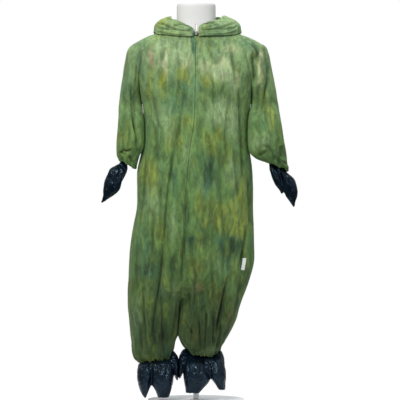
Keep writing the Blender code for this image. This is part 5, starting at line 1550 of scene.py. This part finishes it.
# How bright the white around is, low down and high up, and where it changes; then the lamps: place,
# size in metres, watts and tint.
AROUND_BELOW, AROUND_ABOVE = 0.12, 0.68
AROUND_LOW, AROUND_HIGH = -0.5, 0.8
LIT_POINT = (0, 0, 0.6)
FLOOR_HALF = 3
FLOOR_FADE = (0.75, 0.22)  # metres from the middle, gone and whole
SENSOR_MM = 36
LIGHTS = (
    ("key", (-1.3, -2.6, 2.7), 0.7, 62, (1, 0.98, 0.95)),
    ("fill", (2.0, -2.6, 0.9), 1.6, 12, (0.95, 0.98, 1)),
    ("top", (0.4, 0.9, 2.6), 1.2, 16, (1, 1, 1)),
)
CAMERA_AWAY = 7.0
FRAME_WIDE = 1.12
FRAME_MIDDLE = (0.011, 0.566)


def stage():
    """A white paper floor that runs out into the white round it, and soft lights in front and above."""
    mesh = bpy.data.meshes.new("floor")
    h = FLOOR_HALF
    mesh.from_pydata([(-h, -h, 0), (h, -h, 0), (h, h, 0), (-h, h, 0)], [], [(0, 1, 2, 3)])
    floor = placed("floor", mesh)
    paper = Finish("floor_paper", Roughness=0.9, Emission_Strength=0.35)
    tone = paper.cloudy(0.4, 0.4, 2)
    away = paper.node("VectorMath", {"operation": "LENGTH"}, paper.place)
    edge = paper.part(Value(paper, away.outputs["Value"]), *FLOOR_FADE)
    white = paper.mixed(tone, (0.95, 0.95, 0.95, 1), (0.97, 0.97, 0.97, 1))
    mesh.materials.append(paper.set(Base_Color=white, Emission_Color=white, Alpha=edge))
    world = bpy.data.worlds.new("studio")
    bpy.context.scene.world = world
    world.use_nodes = True
    nodes, links = world.node_tree.nodes, world.node_tree.links
    seen = nodes["Background"]
    around, ray, either, place, apart, above = (nodes.new("ShaderNode" + kind) for kind in (
        "Background", "LightPath", "MixShader", "TexCoord", "SeparateXYZ", "MapRange"))
    above.interpolation_type = "SMOOTHSTEP"
    for number, value in enumerate((AROUND_LOW, AROUND_HIGH, AROUND_BELOW, AROUND_ABOVE)):
        above.inputs[number + 1].default_value = value
    links.new(place.outputs["Generated"], apart.inputs[0])
    links.new(apart.outputs["Z"], above.inputs[0])
    links.new(above.outputs[0], around.inputs["Strength"])
    for light, colour in ((seen, (1, 1, 1, 1)), (around, (0.94, 0.98, 1, 1))):
        light.inputs["Color"].default_value = colour
    for one, two in ((ray.outputs["Is Camera Ray"], either.inputs[0]),
                     (around.outputs[0], either.inputs[1]), (seen.outputs[0], either.inputs[2]),
                     (either.outputs[0], nodes["World Output"].inputs[0])):
        links.new(one, two)
    for name, place, size, power, tint in LIGHTS:
        light = bpy.data.lights.new(name, "AREA")
        light.shape, light.size, light.energy, light.color = "DISK", size, power, tint
        lamp = placed(name, light)
        lamp.location = place
        lamp.rotation_euler = (Vector(LIT_POINT) - Vector(place)).to_track_quat("-Z", "Y").to_euler()
    lens = bpy.data.cameras.new("camera")
    lens.sensor_width, lens.lens = SENSOR_MM, SENSOR_MM * CAMERA_AWAY / FRAME_WIDE
    lens.clip_end = 100
    camera = placed("camera", lens)
    camera.location = (FRAME_MIDDLE[0], -CAMERA_AWAY, FRAME_MIDDLE[1])
    camera.rotation_euler = (math.radians(90), 0, 0)
    bpy.context.scene.camera = camera
    bpy.context.scene.view_settings.view_transform = "Standard"


def main():
    stage()
    metal = plated()
    materials = {
        "plush": plush("plush"),
        "tape": woven("tape_weave", (0.075, 0.15, 0.065, 1), (0.12, 0.22, 0.10, 1), 0.9 * MM),
        "teeth": zip_plastic(),
        "label": woven("label_satin", (0.78, 0.80, 0.80, 1), (0.86, 0.88, 0.88, 1), 0.5 * MM, 0.3),
        "thread": woven("label_thread", (0.70, 0.72, 0.70, 1), (0.80, 0.82, 0.80, 1), 0.4 * MM),
    }
    garment(materials)
    zip_slider(metal)
    pull_tab(metal)
    vinyl = navy_vinyl()
    for name, parts in PADDED.items():
        claws(name, parts, vinyl)
    stand(form_shell(), stand_paint())


main()
